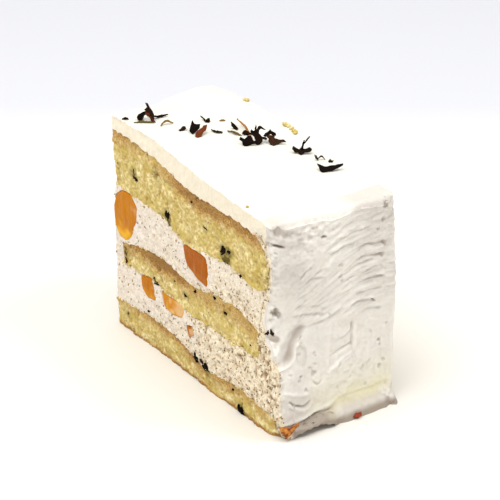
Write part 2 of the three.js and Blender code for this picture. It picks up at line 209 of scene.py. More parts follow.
# across the iced end, as y and how high the spread foot is
foot_top = through(rows("-22 3.6 | -12 5.4 | -2 6.2 | 2 7.4 | 9 8 | 15 7.6 | 20 8 | 25 6"))

# %% The slice's faces
def cut_face_y(side, x, z):
    along = np.clip((x - CUT_END_X) / (ICED_END_X - CUT_END_X), 0, 1)
    half = lerp(HALF_WIDTH_CUT_END, HALF_WIDTH_ICED_END, along)
    drag = 0.25 * np.sin(0.21 * z + 1.3 * side) + 0.2 * np.sin(0.11 * x + 0.4)
    turn_in = 3.8 * smooth(43, 54, x) * (1 - np.clip(z / 11, 0, 1)) if side < 0 else 0
    return side * (half + drag - turn_in)


def cut_end_x(y, z):
    wavy = 0.5 * np.sin(0.12 * z + 0.6) + 0.3 * np.sin(0.3 * y) - 2.6 * smooth(-10, 5, y) * smooth(45, 78, z)
    return CUT_END_X + wavy + round_off(HALF_WIDTH_CUT_END - y, 2)


def iced_face(y, z):
    return lerp(iced_front(z), iced_back(z), smooth(-24, 20, y))


def layers_end_x(y, z):
    under_cream = iced_face(y, z) - END_CREAM
    ragged = clouds((y, z), 71, (0.35, 2.1), (0.25, 0.8))
    return lerp(layers_at_cut(z), under_cream, smooth(THIN_FROM_Y, THIN_TO_Y, y)) + ragged


def inward(x, y, z):
    """How far in a point lies from the front cut, the back cut and the cut end."""
    return np.stack([y - cut_face_y(-1, x, z), cut_face_y(1, x, z) - y, x - cut_end_x(y, z)])


# %% Heights of the layers
def layer_height(text, seed):
    """The height of a boundary between layers, with the small unevenness of crumb pressed into cream."""
    points = rows(text)
    at_front = through(points)

    def height(x, y):
        drift = smooth(-24, 10, y) * (0.8 * np.sin(0.13 * x + points[1][1]) + 0.5 * np.sin(0.31 * x + 0.1 * y))
        return at_front(x) + drift + clouds((x, y), seed, (0.4, 2.4), (0.34, 1.1))

    return height


def offset(height, by):
    return lambda a, b: height(a, b) + by


def level(z):
    return lambda x, y: np.full_like(x, z)


# each as x and z in the front cut
under_top_cream = layer_height("-52 77.2 | -29 76.1 | -13 73.7 | 1 72.1 | 30 72.1 | 39 71.2", 11)
upper_sponge_floor = layer_height("-51 55.6 | -19 54.3 | -7 50.8 | 10 52.6 | 23 53.5 | 32 51.7 | 45 52.6", 21)
middle_sponge_top = layer_height("-46 34.2 | -35 37 | -20 38.4 | -1 36.3 | 14 38.8 | 28 39.5 | 39 36.6", 31)
middle_sponge_floor = layer_height("-46 26.2 | -34 26.9 | -20 26.1 | -4 24.7 | 13 24.8 | 39 25.8", 41)
lower_sponge_top = layer_height(
    "-51 10.5 | -30 11.9 | -16 11.7 | -2 9.7 | 5 7.4 | 26 9.5 | 40 8.5 | 49 6.6", 51
)

# %% [markdown]
# ## From functions to closed meshes
# Each layer is a box of grids that a function bends into place. The faces that show get a fine grid, and the ones
# that lie against another layer a coarse one. Where the two meet, the coarse cells take in every point of the
# fine edge, so the mesh stays closed.

# %% Grids
FACES = {"start": (0, 0), "end": (0, 1), "front": (1, 0), "back": (1, 1), "floor": (2, 0), "top": (2, 1)}


def closed_box(us, vs, ws, place, plain=(), step=6):
    """A closed mesh of six grids. place carries arrays of (u, v, w) to points. plain names the coarse faces."""
    number = np.full((len(us), len(vs), len(ws)), -1)
    views = {}
    for name, (axis, side) in FACES.items():
        views[name] = tuple(-side if n == axis else slice(None) for n in range(3))
        every = step if name in plain else 1
        number[views[name]][::every, ::every] = 0
    used = np.argwhere(number == 0)
    number[tuple(used.T)] = np.arange(len(used))
    points = place(us[used[:, 0]], vs[used[:, 1]], ws[used[:, 2]])
    faces = []
    for name, view in views.items():
        way = -1 if sum(FACES[name]) % 2 == 0 else 1
        grid = number[view]
        if name not in plain:
            quads = np.stack([grid[:-1, :-1], grid[1:, :-1], grid[1:, 1:], grid[:-1, 1:]], axis=-1).reshape(-1, 4)
            faces += quads[:, ::way].tolist()
            continue
        for a in range(0, grid.shape[0] - 1, step):
            for b in range(0, grid.shape[1] - 1, step):
                ring = [*grid[a : a + step, b], *grid[a + step, b : b + step]]
                ring += [*grid[a + step : a : -1, b + step], *grid[a, b + step : b : -1]]
                faces.append([int(n) for n in ring if n >= 0][::way])
    return points, faces, used


def make_piece(name, points, faces):
    mesh = bpy.data.meshes.new(name)
    mesh.from_pydata((np.asarray(points) * MM).tolist(), [], faces)
    mesh.update()
    mesh.shade_smooth()
    return add_object(name, mesh)


def points_of(piece):
    flat = np.empty(len(piece.data.vertices) * 3, np.float32)
    piece.data.vertices.foreach_get("co", flat)
    return flat.reshape(-1, 3).astype(float) / MM


def put_values(piece, name, values):
    """Stores one number for each point, which the piece's material reads."""
    attribute = piece.data.attributes.get(name) or piece.data.attributes.new(name, "FLOAT", "POINT")
    attribute.data.foreach_set("value", np.asarray(values, np.float32))


def bake(piece):
    """Turns a piece and its modifiers into a plain mesh."""
    graph = bpy.context.evaluated_depsgraph_get()
    mesh = bpy.data.meshes.new_from_object(piece.evaluated_get(graph))
    piece.modifiers.clear()
    old, piece.data = piece.data, mesh
    bpy.data.meshes.remove(old)
    mesh.name = piece.name


def carve(piece, cutter):
    """Cuts a solid out of a piece."""
    cut = piece.modifiers.new("cut", "BOOLEAN")
    cut.operation, cut.solver, cut.object = "DIFFERENCE", "MANIFOLD", cutter
    bake(piece)


# %% Blocks between two heights and two ends
def even(count):
    return np.linspace(0, 1, count + 1)


def block(name, counts, ends, heights, relief=None, seed=0, past=0):
    """A block with fine cut faces. relief(along, up, seed) is how far a cut face is eaten away at each point.
    The same knife cuts every block: x, y and z settle in a few passes, since each depends on the others."""

    def place(u, v, w):
        x, y, z = np.zeros_like(u), lerp(-HALF_WIDTH_ICED_END, HALF_WIDTH_ICED_END, v), HEIGHT * w
        for _ in range(4):
            x = lerp(ends[0](y, z), ends[1](y, z), u)
            y = lerp(cut_face_y(-1, x, z), cut_face_y(1, x, z), v)
            z = lerp(heights[0](x, y), heights[1](x, y), w)
        return np.stack([x, y, z], axis=1)

    us, vs, ws = (even(n) for n in counts)
    points, faces, used = closed_box(us, lerp(-past, 1 + past, vs), ws, place, plain=("end", "floor", "top"))
    if relief:
        x, y, z = points.T.copy()
        front, behind, cut_end = used[:, 1] == 0, used[:, 1] == counts[1], used[:, 0] == 0
        points[front, 1] += relief(x[front], z[front], seed)
        points[behind, 1] -= relief(x[behind], z[behind], seed + 50)
        points[cut_end, 0] += relief(y[cut_end], z[cut_end], seed + 90)
    print(name, len(points), "points")
    return make_piece(name, points, faces)


# %% [markdown]
# ## Crumb and whipped cream
# A knife tears sponge open: there are grains about a millimetre across, with pores between them and here and
# there a larger bubble. Whipped filling is smoother, with small bubbles and soft lumps. Both are made as depth
# below the cut, and the same numbers are kept for the materials, which paint shade into the pores and bubbles.

# %% Relief of the cut faces
def crumb(a, b, seed):
    pores = np.maximum.reduce([
        holes((a, b), 0.95, 0.4, 0.12, 0.38, seed + 3),
        holes((a, b), 2.3, 0.4, 0.25, 0.75, seed + 9),
        0.8 * holes((a, b), 7.5, 0.35, 0.6, 1.3, seed + 15),
    ])
    return 0.15 + clouds((a, b), seed, (0.28, 3.6), (0.25, 1.3), (0.08, 0.65)) + 0.85 * pores


# x, z, half-width and half-height of the largest pits in the front cut
TORN_PITS = rows("""
    39.6 29.6 .9 1.3 | 44.4 26.9 1.1 .9 | 43 21.2 1 1.7 | 24 22.4 .8 .9 | 28.2 21.8 .8 .8 | 47.2 15 1 .8 |
    45.6 12.2 .8 .9 | 41 35.2 .6 .9 | 37.6 41.2 .8 .6 | 48.4 19.6 .6 .8 | 33 44.6 .7 .8 | 35.4 17.4 .9 .6 |
    15.6 14.2 .7 .6 | 42.6 69.8 1.5 .6 | 40.2 70.6 1 .9
""")
FRONT_SEEDS = (400, 500, 705)


def torn_pits(x, z):
    depth = np.zeros_like(x)
    wx, wz = shaken((x, z), 0.5, 1.2, 61)
    for px, pz, wide, high in TORN_PITS:
        depth = np.maximum(depth, 1.3 * smooth(1.25, 0.3, np.hypot((wx - px) / wide, (wz - pz) / high)))
    return depth


def whipped(a, b, seed):
    coarse = 0.35 + 0.65 * smooth(-34, 30, a) * smooth(56, 30, b)
    loose = 0.2 + 0.4 * coarse
    bubbles = np.maximum.reduce([
        holes((a, b), 0.8, 0.4, 0.08, 0.3, seed + 3),
        holes((a, b), 2.1, loose, 0.2, 0.6, seed + 9),
        0.9 * holes((a, b), 5.5, loose * 0.8, 0.4, 1.05, seed + 15),
    ])
    pits = torn_pits(a, b) if seed in FRONT_SEEDS else 0
    lumps = clouds((a, b), seed, (0.22, 3.4), (0.46 * coarse, 1.5), (0.09, 0.6))
    return 0.12 + lumps + np.maximum(0.8 * bubbles, pits)


# %% [markdown]
# ## The three sponges
# Each sponge is one block, fine on its three cuts. The middle one stops short of both ends, where filling wraps
# round it.

# %% Sponges
whole_ends = (cut_end_x, layers_end_x)
middle_ends = [level(x) for x in MIDDLE_SPONGE_ENDS]
sponges = {name: block(name, *how) for name, how in {
    "sponge_upper": ((336, 132, 72), whole_ends, (upper_sponge_floor, under_top_cream), crumb, 100),
    "sponge_middle": ((288, 132, 36), middle_ends, (middle_sponge_floor, middle_sponge_top), crumb, 200),
    "sponge_lower": ((336, 132, 36), whole_ends, (level(0), lower_sponge_top), crumb, 300),
}.items()}

# %% [markdown]
# ## The two fillings
# Filling fills what the sponges leave, so each layer is a block between two sponges with the middle sponge's room
# cut out of it. The two meet in a level seam round both ends of the middle sponge.

# %% Fillings
room = block(
    "room", (144, 12, 12), (level(MIDDLE_SPONGE_ENDS[0] - SEAM), level(MIDDLE_SPONGE_ENDS[1] + SEAM)),
    (offset(middle_sponge_floor, -SEAM), offset(middle_sponge_top, SEAM)), past=0.1,
)
above, below = level(WRAP_SEAM_Z + SEAM), level(WRAP_SEAM_Z - SEAM)
fillings = {name: block(name, (336, 132, 72), whole_ends, heights, whipped, seed) for name, heights, seed in (
    ("filling_upper", (above, offset(upper_sponge_floor, -SEAM)), 400),
    ("filling_lower", (offset(lower_sponge_top, SEAM), below), 500),
)}
for piece in fillings.values():
    carve(piece, room)
bpy.data.objects.remove(room)

# %% [markdown]
# ## Peach
# A cut goes through each chunk of peach and shows a smooth wet face with a soft rim. The chunk is a stack of rings:
# from the middle of its face out to the rim, over the rim, and back into the slice as it narrows. The same stack,
# a little larger, cuts its pocket in the layers round it.

# %% Peach outlines
# name, the cut that it shows in, how deep it is, and its outline as along and up
PEACHES = {name: (cut, depth, rows(outline)) for name, cut, depth, outline in (
    ("peach_left_corner", "front", 12,
     "-48.6 36.2 | -44.4 35.8 | -40.6 38.8 | -38.2 43.4 | -36.2 46.6 | -36.6 51.4 | -40.6 55.2 | -46.6 54.8 | "
     "-50.6 51.6 | -52 46.2 | -51.2 40.2"),
    ("peach_upper_middle", "front", 10, "-7 50.2 | -4.4 43.8 | 1.8 40.8 | 9.4 39.8 | 9.4 46 | 8.4 51.2"),
    ("peach_lower_left", "front", 8, "-35.2 26.3 | -33.9 21.2 | -30.6 19 | -24.8 19.9 | -26.5 24.4 | -28.2 27.6"),
    ("peach_lower_middle", "front", 8,
     "-22.1 25.6 | -19.6 20 | -13.6 19.2 | -7.6 20.8 | -6.2 24.1 | -8.9 25.4 | -15 25.4"),
    ("peach_sliver", "front", 3, "-4.6 19.6 | -3.4 15.2 | .6 17.6 | -.8 20.6"),
    ("peach_back_upper", "back", 10, "15 46.4 | 18 41 | 26 40.6 | 30.6 46 | 26.4 51.4 | 18.4 51"),
    ("peach_back_middle", "back", 9, "-23.6 44 | -18 40.6 | -12.6 44.4 | -14 51 | -21.6 51.6"),
    ("peach_back_lower", "back", 9, "-1.6 17.4 | 4.6 13 | 11.6 15.8 | 11 21.6 | 2.6 23.2"),
    ("peach_cut_end", "end", 9, "2.4 17.2 | 6.6 13.6 | 12.4 16.2 | 11.4 21.8 | 4.4 22.6"),
)}
PEACH_TAPER = through(rows("0 1 | .3 .97 | .65 .86 | .9 .6"))


def rounded(outline, times=3, share=0.12):
    """An outline with its corners cut again and again, until it is a smooth curve."""
    ring = np.array(outline)
    for _ in range(times):
        before, after = np.roll(ring, 1, axis=0), np.roll(ring, -1, axis=0)
        ring = np.stack([lerp(ring, before, share), lerp(ring, after, share)], axis=1).reshape(-1, 2)
    return ring


# %% Peach pieces and their pockets
def place_in_cut(cut, a, b, into):
    """Points at (along, up) in a cut, this far into the slice."""
    if cut == "end":
        return np.stack([cut_end_x(a, b) + into, a, b], axis=-1)
    side = -1 if cut == "front" else 1
    return np.stack([a, cut_face_y(side, a, b) - side * into, b], axis=-1)


def tube_faces(count, rings, start, end):
    """Faces over rings of points, closed on a point at each end."""
    faces = []
    for i in range(count):
        j = (i + 1) % count
        for ring in range(0, (rings - 1) * count, count):
            faces.append((ring + i, ring + count + i, ring + count + j, ring + j))
        faces.append((start, i, j))
        faces.append((end, (rings - 1) * count + j, (rings - 1) * count + i))
    return faces


def peach(name, cut, depth, outline, seed, grown=0.0):
    ring = rounded(outline)
    if grown:  # the pocket: past the cut, and larger all round
        stack = [(1, -grown, -3.0), (1, -grown, 0.0)]
    else:
        ring = shaken(ring.T, 0.16, 1.7, seed + 3).T
        stack = [(t, 0.35 * t**6, 0.1 * t**4) for t in np.linspace(0.06, 1, 15)]
        stack += [(1, 0.1, 0.3), (1, 0, 0.6)]
    stack += [(float(PEACH_TAPER(t)), -grown, t * (depth + grown)) for t in np.linspace(0.12, 0.97, 9)]
    middle = ring.mean(axis=0)
    out = ring - middle
    reach = np.hypot(*out.T)
    points = []
    for share, inset, into in stack:
        a, b = (middle + out * (share * (1 - inset / reach)[:, None])).T
        soft = 0 if grown or into > 1 else clouds((a, b), seed, (0.16, 2.4), (0.07, 0.8))
        points.append(place_in_cut(cut, a, b, into + soft))
    points += [place_in_cut(cut, *middle, into)[None] for into in (stack[0][2], stack[-1][2] + 0.02 * depth)]
    points = np.concatenate(points)
    faces = tube_faces(len(ring), len(stack), len(points) - 2, len(points) - 1)
    if cut != "front":
        faces = [face[::-1] for face in faces]
    return make_piece(name, points, faces)


peaches = {}
for number, (name, (cut, depth, outline)) in enumerate(PEACHES.items()):
    pocket = peach("pocket", cut, depth, outline, 0, grown=0.12)
    foot, head = min(z for _, z in outline), max(z for _, z in outline)
    for layer in [*fillings.values(), *sponges.values()]:
        z = points_of(layer)[:, 2]
        if z.max() > foot - 1 and z.min() < head + 1:
            carve(layer, pocket)
    bpy.data.objects.remove(pocket)
    peaches[name] = peach(name, cut, depth, outline, 600 + 10 * number)
    print(name, len(peaches[name].data.vertices), "points")

# %% [markdown]
# ## The cream on the end
# A palette knife has dragged the cream across the end in short curved strokes. Each stroke is a groove that fades in
# at its left and ends sharply at its right, with the cream it moved heaped up above it. Below them are a smooth
# scoop, small pits and folds, and a foot that has spread along the board.

# %% Marks on the end
# left end, middle and right end as y and z, and depth
STROKES = rows("""
    -3 72.3 5 71.4 15.3 70.7 .2 | -3.5 66.8 4 67.2 13.9 68.2 .45 | -6.4 62.8 2 63.3 12.1 64.5 .35 |
    6.4 60.4 12.8 62.1 20 61.5 .6 | 5.6 56.6 11.5 58.2 18.8 57.6 .6 | 9.2 55.2 13.4 56 18.2 55.4 .3 |
    10.4 52.9 14.5 53.6 18.7 53 .5 | 2.6 51 6 51.9 9.4 52 .25 | 6.6 48.8 12.9 49.9 19.4 49.1 .5 |
    4.2 43.4 10 45.4 18.2 45.2 .5 | 3.2 39.6 8.1 42 14.9 41.6 .55 | 8.8 37.6 13.1 38.4 17.8 37.8 .4 |
    -14.8 56.2 -12.6 58.4 -9.8 60 .6 | -12.6 54.6 -8 57.2 -4 57.8 .4 | -13.4 52.8 -9.4 55.5 -4.2 54.7 .5 |
    -14.6 48.4 -11.5 50 -8.8 51.4 .45 | -15.6 45.3 -13.8 45.5 -11.8 45.7 .4 | -12.4 45 -7 44.2 -3.4 43 .25 |
    -18.6 42.6 -12.4 42 -4.8 41 .35 | -13.5 36.9 -4.2 38.4 2 41.4 .35 | -.8 29.6 3 30.4 6.2 32 .25 |
    -1.6 26 2.6 27 6.2 28.8 .2
""")
# y, z, radius, depth
PITS = rows("""
    -14.9 28.9 .7 .4 | -8.7 27.6 .8 .5 | -9 24.2 .7 .4 | -9.3 20.9 1.2 .7 | -19.4 23.1 .8 .4 | -14.9 21.2 .8 .7 |
    -15.1 19.6 .7 .6 | -13.4 16.2 1.1 .6 | -4.6 69.3 .75 1.3 | -22.4 46 1.7 1.4 | -21 44.6 1.3 .9 |
    -25.2 54.4 1.6 1 | -10.4 64.9 1.7 .3 | -10 70.2 1.2 .5 | -5.1 40.9 .8 .4 | -2.5 40.5 .6 .5 | 19.7 69.4 .9 .7 |
    17.4 66.4 .7 .6 | 20.9 74 1.1 1.7 | 19.8 60.4 1.1 .8 | 18.6 56.8 1 .7 | 2 57.6 1 .5 | 1.6 53.7 .9 .6 |
    2 51.7 1 .5 | 14.8 41.7 .75 .9 | 17.5 24.9 .8 .7 | 17.9 23.4 .7 .6 | 18.7 14.9 .9 .7 | 10.8 16.6 1 .45 |
    1.3 20.8 .9 .4 | 12.7 9.9 .8 .4 | .2 12.5 .8 .4 | 5.8 14.8 .8 .3 | 13.4 17.9 .8 .4 | 19.9 17 .9 .5 |
    -21.6 74.8 2.4 .8 | -18.6 73 1.5 .6 | 7 11.5 .8 .3 | 20.6 30.8 .7 .4 | 13.9 29.6 .6 .3
""")
# half-width, height over the cream round it, and points as y and z from left to right
FOLDS = rows("""
    .7 .6 -22.8 18.2 -17.8 15.9 -12.4 14.8 | .55 -.9 -20.8 14.5 -17.6 11.7 -13.8 10.4 -11.3 11.7 |
    .9 .35 -21 13.4 -17.4 10.2 -13.6 8.9 -10.6 10.2 | .45 -.6 -20.7 11.9 -19.4 11 -18 10.2 |
    .45 .35 -24 26.6 -21.5 25.9 -18.6 26.8 | .5 .4 -16.3 32.4 -14.4 32.6 -11.8 31.2 |
    .4 -.5 -11.9 23.5 -10.8 23.3 -9.7 23 | .5 -.6 -10.4 18.4 -8.3 16.7 -6.2 17.7 |
    .6 .4 -4.4 19.6 1.4 21.4 6.3 22.8 | .5 -1.7 -25.5 71.9 -22.4 70.4 -19.4 69.1
""")
scoop_floor = through(rows("26.9 -21.4 | 28.8 -19.6 | 31.1 -18.5 | 33.3 -17.4 | 34.8 -15.6 | 37.4 -13"))
scoop_rim = through(rows("26.2 -19.6 | 28.8 -17.4 | 31.4 -16.5 | 33.4 -15.3 | 35.4 -12.6 | 37.6 -10.4"))
pressed_foot = through(rows("-4 20.6 | -2.9 20.8 | 1.4 22.5 | 6.1 24.1 | 8 24.6"))
crease = through(rows("-16 4.6 | -12 5.6 | -9.6 6.2 | -3.8 5.8 | .5 8 | 7 8.6 | 15.6 7.8 | 20 8.6 | 23 7.6"))


def stroke_marks(y, z):
    marks = np.zeros_like(y)
    sway = 0.3 * noise((y, z), 4.0, 81)
    for y0, z0, y1, z1, y2, z2, depth in STROKES:
        near = (y > y0 - 3) & (y < y2 + 3)
        yy, zz = y[near], z[near]
        d = zz - through([(y0, z0), (y1, z1), (y2, z2)])(yy) + sway[near]
        shown = smooth(y0 - 0.8, lerp(y0, y1, 0.9), yy) * smooth(y2 + 0.4, y2 - 0.6, yy)
        shown = shown * np.clip(0.75 + 0.7 * noise((yy * 0.5, zz), 2.2, 72), 0.2, 1.1)
        heaped = 0.6 * bump(d, 1.0, 0.5) + 0.3 * bump(d, 1.8, 0.8)
        groove = bump(d, 0, 0.5 + 0.12 * noise((yy, zz), 3.0, 74)) + 0.3 * bump(d, -0.7, 1.1)
        marks[near] += depth * shown * (heaped - groove)
    return marks


def fold_marks(y, z):
    marks = np.zeros_like(y)
    for half, height, *points in FOLDS:
        points = np.reshape(points, (-1, 2))
        y0, y2 = points[0, 0], points[-1, 0]
        ends = smooth(y0 - 0.4, y0 + 1.0, y) * smooth(y2 + 0.4, y2 - 1.0, y)
        marks += height * ends * bump(z - through(points)(y) + 0.25 * noise((y, z), 1.6, 82), 0, half)
    return marks


def pit_marks(y, z):
    marks = np.zeros_like(y)
    wy, wz = shaken((y, z), 0.5, 1.4, 83)
    for py, pz, radius, depth in PITS:
        q = np.hypot(wy - py, wz - pz) / radius
        marks -= depth * smooth(1.15, 0.3 + 0.3 * smooth(-0.6, 0.6, (wy - py) / radius), q)
    return marks


def scoop_mark(y, z):
    """A valley down to the left, its right wall steep, and a shallow hollow beside it."""
    floor, rim = scoop_floor(z), scoop_rim(z)
    down = smooth(26.0, 28.4, z) * smooth(40, 36.5, z)
    valley = -1.7 * smooth(floor - 5.8, floor - 0.2, y) * smooth(rim + 0.2, floor + 0.4, y) * down
    heaped = 0.45 * bump(y, rim + 0.6, 0.6) * smooth(26, 27.5, z) * smooth(36, 33, z)
    q = np.hypot((y + 14.1) / 2.4, (z - 28.6) / 4.6)
    return valley + heaped - 0.7 * smooth(1.1, 0.6 + 0.3 * smooth(-1, 1, y + 14), q)


# %% Roughness on the end
def smear(y, z):
    """Fine lines that the knife's edge drew, and the roughness between them."""
    rise = 0.15 * y - 0.0125 * (y - 12) ** 2 * (1 - 0.7 * smooth(57, 64, z))
    brushed = smooth(35, 42, z) * smooth(-20, -12, y) * (1 - smooth(-3, -7, y) * smooth(59, 63, z))
    lines = 0.2 * noise((y * 0.14, z - rise), 0.6, 85) + 0.24 * noise((y * 0.22, z - rise), 1.3, 86)
    rough = clouds((y, z), 87, (0.1, 0.95), (0.2, 3.2)) - 0.3 * holes((y, z), 2.6, 0.2, 0.2, 0.5, 67)
    upright = 0.12 * noise((y, z * 0.22), 1.1, 89) * smooth(38, 30, z) * smooth(6, 9, y)
    return lines * brushed * smooth(76, 72, z + 0.3 * y * (y < 0)) + rough + upright


def rough_patch(y, z):
    """Lumpy, pitted cream: under the front part of the top edge, and along the corner by the front cut."""
    patch = spots(y, z, ".7 -12 9.5 71.5 5.5 | .3 4 12 17 8 | .3 -16 7 58 10") + 0.8 * smooth(-21.5, -23.5, y)
    patch += 0.7 * smooth(20, 23, y) * smooth(60, 68, z) + 0.9 * smooth(17, 22, y) * smooth(10, 6, z)
    lumps = clouds((y, z), 91, (0.65, 1.9), (0.45, 0.9)) - holes((y, z), 1.5, 0.5, 0.2, 0.6, 93)
    return np.clip(patch, 0, 1.2) * lumps


def end_form(y, z):
    """Broad humps and hollows, and a pressed field between two grooves."""
    humps = ".7 3 7 40 6 | .8 -6 9 60 11 | -.5 -7 4 33.5 4.5 | .7 -16 6 13 5 | -.5 -10 5 20 4 | -.8 -16.5 3.6 18.6 2.4"
    left = -4.0 + 0.137 * (z - 21)
    foot = z - pressed_foot(y)
    within = smooth(left - 0.2, left + 1.4, y) * smooth(7.0, 6.4, y) * smooth(-0.4, 0.5, foot) * smooth(38, 34, z)
    under = z - lerp(24.9, 27.0, (y + 2.3) / 8)
    groove = 0.75 * bump(y, 6.7, 0.45) * smooth(25.5, 27, z) * smooth(36.5, 34.5, z)
    groove = groove * (0.7 + 0.5 * noise((z,), 2.6, 64))
    groove = groove + 0.7 * bump(under, 0, 0.42) * smooth(-3.4, 2, y) * smooth(7, 6.2, y)
    ledge = 0.3 * bump(y, 7.7, 0.6) * smooth(24, 26, z) * smooth(36, 33, z)
    ledge = ledge + 0.35 * bump(foot, 0, 0.6) * smooth(-4.5, -2, y) * smooth(7, 6, y)
    return spots(y, z, humps) - 0.5 * within - groove + ledge


# %% The iced end, the top and the lip
def iced_end_x(y, z):
    q = np.clip(z / foot_top(y), 0, 1)
    step = 0.75 * smooth(1.0, 0.55, q) + 0.25 * (1 - q) - 0.3 * smooth(0.25, 0, q)
    side = lerp(step, (1 - q) ** 1.6, smooth(-4, 3, y))
    lumps = 0.3 * noise((y, z), 3.6, 94) + 0.12 * noise((y, z), 1.4, 99)
    foot = (FOOT_REACH * side + lumps * smooth(1, 0.6, q)) * smooth(-27, -12, y)
    corner = round_off(HALF_WIDTH_ICED_END - np.abs(y), np.where(y < 0, corner_radius(z), 1.5))
    fold = z - crease(y) + 0.3 * noise((y, z), 2.0, 80)
    clear = (1 - 0.75 * smooth(-3.4, -1, y)) * (0.5 + 0.5 * smooth(-0.5, 0.3, noise((y, z), 4.5, 79)))
    marks = (0.6 * bump(fold, 1.0, 0.9) - 0.7 * bump(fold, -0.3, 0.55)) * clear
    marks = marks + stroke_marks(y, z) + fold_marks(y, z) + pit_marks(y, z) + scoop_mark(y, z)
    fine = smear(y, z) * (0.35 + 0.65 * smooth(-0.5, 1.5, fold)) + rough_patch(y, z)
    return iced_face(y, z) + foot + end_form(y, z) + marks + fine - corner


def top_z(x, y):
    sway = 0.2 * np.sin(0.09 * x + 0.5) * np.cos(0.12 * y) + 0.15 * np.sin(0.2 * y + 0.05 * x)
    edge = iced_face(y, np.full_like(y, HEIGHT)) - x
    lumps = 0.3 * noise((x, y), 2.6, 95) * smooth(5, 1, edge) + 0.05 * noise((x, y), 4.5, 96)
    lumps = lumps + 0.07 * noise((x * 0.12, y), 2.2, 60)
    lumps = lumps - smooth(-42, -51, x) * (1.3 * bump(y, -4, 8) + 0.8 * smooth(15, 24, y))
    return HEIGHT - top_fall(x) + sway + lumps - round_off(edge, 2.3 + 0.8 * noise((y,), 4.0, 78))


def lip_z(x, y):
    """The foot's lip, which is clear of the board for a short stretch."""
    inside = 1 - ((x - ICED_END_X - 6) / 6.2) ** 2 - ((y + 11) / 8.4) ** 2
    arch = np.sqrt(np.clip(inside + 0.12 * noise((y,), 1.6, 75), 0, None))
    return (2.7 + clouds((x, y), 76, (0.5, 1.8), (0.3, 0.8))) * arch * (inside > -0.1)


# %% [markdown]
# ## The cream's mesh
# The cream is one bent slab: it runs along the top, turns over the edge and goes down the end. So its grid runs along
# that path, across the slice, and through the cream from the layers out to the air. The rows are closer where the
# slab turns round an edge.

# %% Cream coat
def close_at(count, turn, steps):
    """Even steps up to the last part, and there steps of equal angle round a quarter circle."""
    inner = np.linspace(0, 1 - turn, count + 1)[:-1]
    return np.concatenate([inner, 1 - turn + turn * np.sin(np.linspace(0, math.pi / 2, steps + 1))])


END_STEPS, ACROSS_STEPS, EDGE_STEPS = 228, 120, 6
path = np.concatenate([close_at(246, 3.2 / 98, 12), 1 + np.linspace(0, 1, END_STEPS + 1)[1:]])
edge = 2 / 49.6 * (1 - np.cos(np.linspace(0, math.pi / 2, EDGE_STEPS + 1)))
inner = np.linspace(edge[-1], 1 - edge[-1], ACROSS_STEPS + 1)
across = np.concatenate([edge[:-1], inner, 1 - edge[-2::-1]])
THROUGH_STEPS = 12


def cream_points(s, v, t):
    """s runs along the top up to 1 and down the end from there, v across, and t out through the cream."""
    on_top = s <= 1
    u, w = np.where(on_top, s, 1), np.where(on_top, 1, 2 - s)
    y = lerp(-HALF_WIDTH_ICED_END, HALF_WIDTH_ICED_END, v)
    z_out, z_in = HEIGHT * w, 72.0 * w
    for _ in range(5):
        x_out = lerp(cut_end_x(y, z_out), iced_end_x(y, z_out), u)
        z_out = lerp(lip_z(x_out, y), top_z(x_out, y), w)
        x_in = lerp(cut_end_x(y, z_in), layers_end_x(y, z_in) + SEAM, u)
        z_in = lerp(0, under_top_cream(x_in, y) + SEAM, w)
        x, z = lerp(x_in, x_out, t), lerp(z_in, z_out, t)
        y = lerp(cut_face_y(-1, x, z), cut_face_y(1, x, z), v)
    return np.stack([x, y, z], axis=1)


def sliced_cream(a, b, seed):
    """The knife's fine upright marks on the cream's cut edge."""
    return 0.1 + 0.08 * noise((a, b * 0.25), 0.8, seed) + clouds((a, b), seed + 1, (0.1, 0.8), (0.2, 3))


points, faces, used = closed_box(path, across, even(THROUGH_STEPS), cream_points, plain=("floor",))
x, y, z = points.T.copy()
front, behind, cut_end = used[:, 1] == 0, used[:, 1] == len(across) - 1, used[:, 0] == 0
outer, way_along = used[:, 2] == THROUGH_STEPS, path[used[:, 0]]
past_torn = x - torn_edge(z) - clouds((x, z), 68, (0.9, 1.7), (0.5, 0.8))
torn = smooth(0.5, -0.5, past_torn) * smooth(-1.5, 0.5, x - layers_at_cut(z)) * smooth(75, 71, z)
torn_depth = whipped(x, z, 705)
smeared = 0.1 + clouds((x, z), 701, (0.2, 2.2), (0.08, 0.8))
edge_relief = lerp(sliced_cream(x, z, 700), smeared, smooth(-1.5, 0.5, past_torn))
points[front, 1] += lerp(edge_relief, 0.1 + 1.3 * torn_depth, torn)[front]
points[behind, 1] -= sliced_cream(x[behind], z[behind], 750)
points[cut_end, 0] += sliced_cream(y[cut_end], z[cut_end], 790)
saw = 0.28 * noise((x, y * 0.25), 0.8, 97) + 0.1 * noise((x, y), 2.2, 98)
near_edge = bump(y - cut_face_y(-1, x, z), 0, 0.9) + bump(cut_face_y(1, x, z) - y, 0, 0.9)
points[:, 2] += np.where(outer & (way_along < 1), (saw - 0.12) * near_edge, 0)
cream = make_piece("cream_coat", points, faces)
print("cream_coat", len(points), "points")

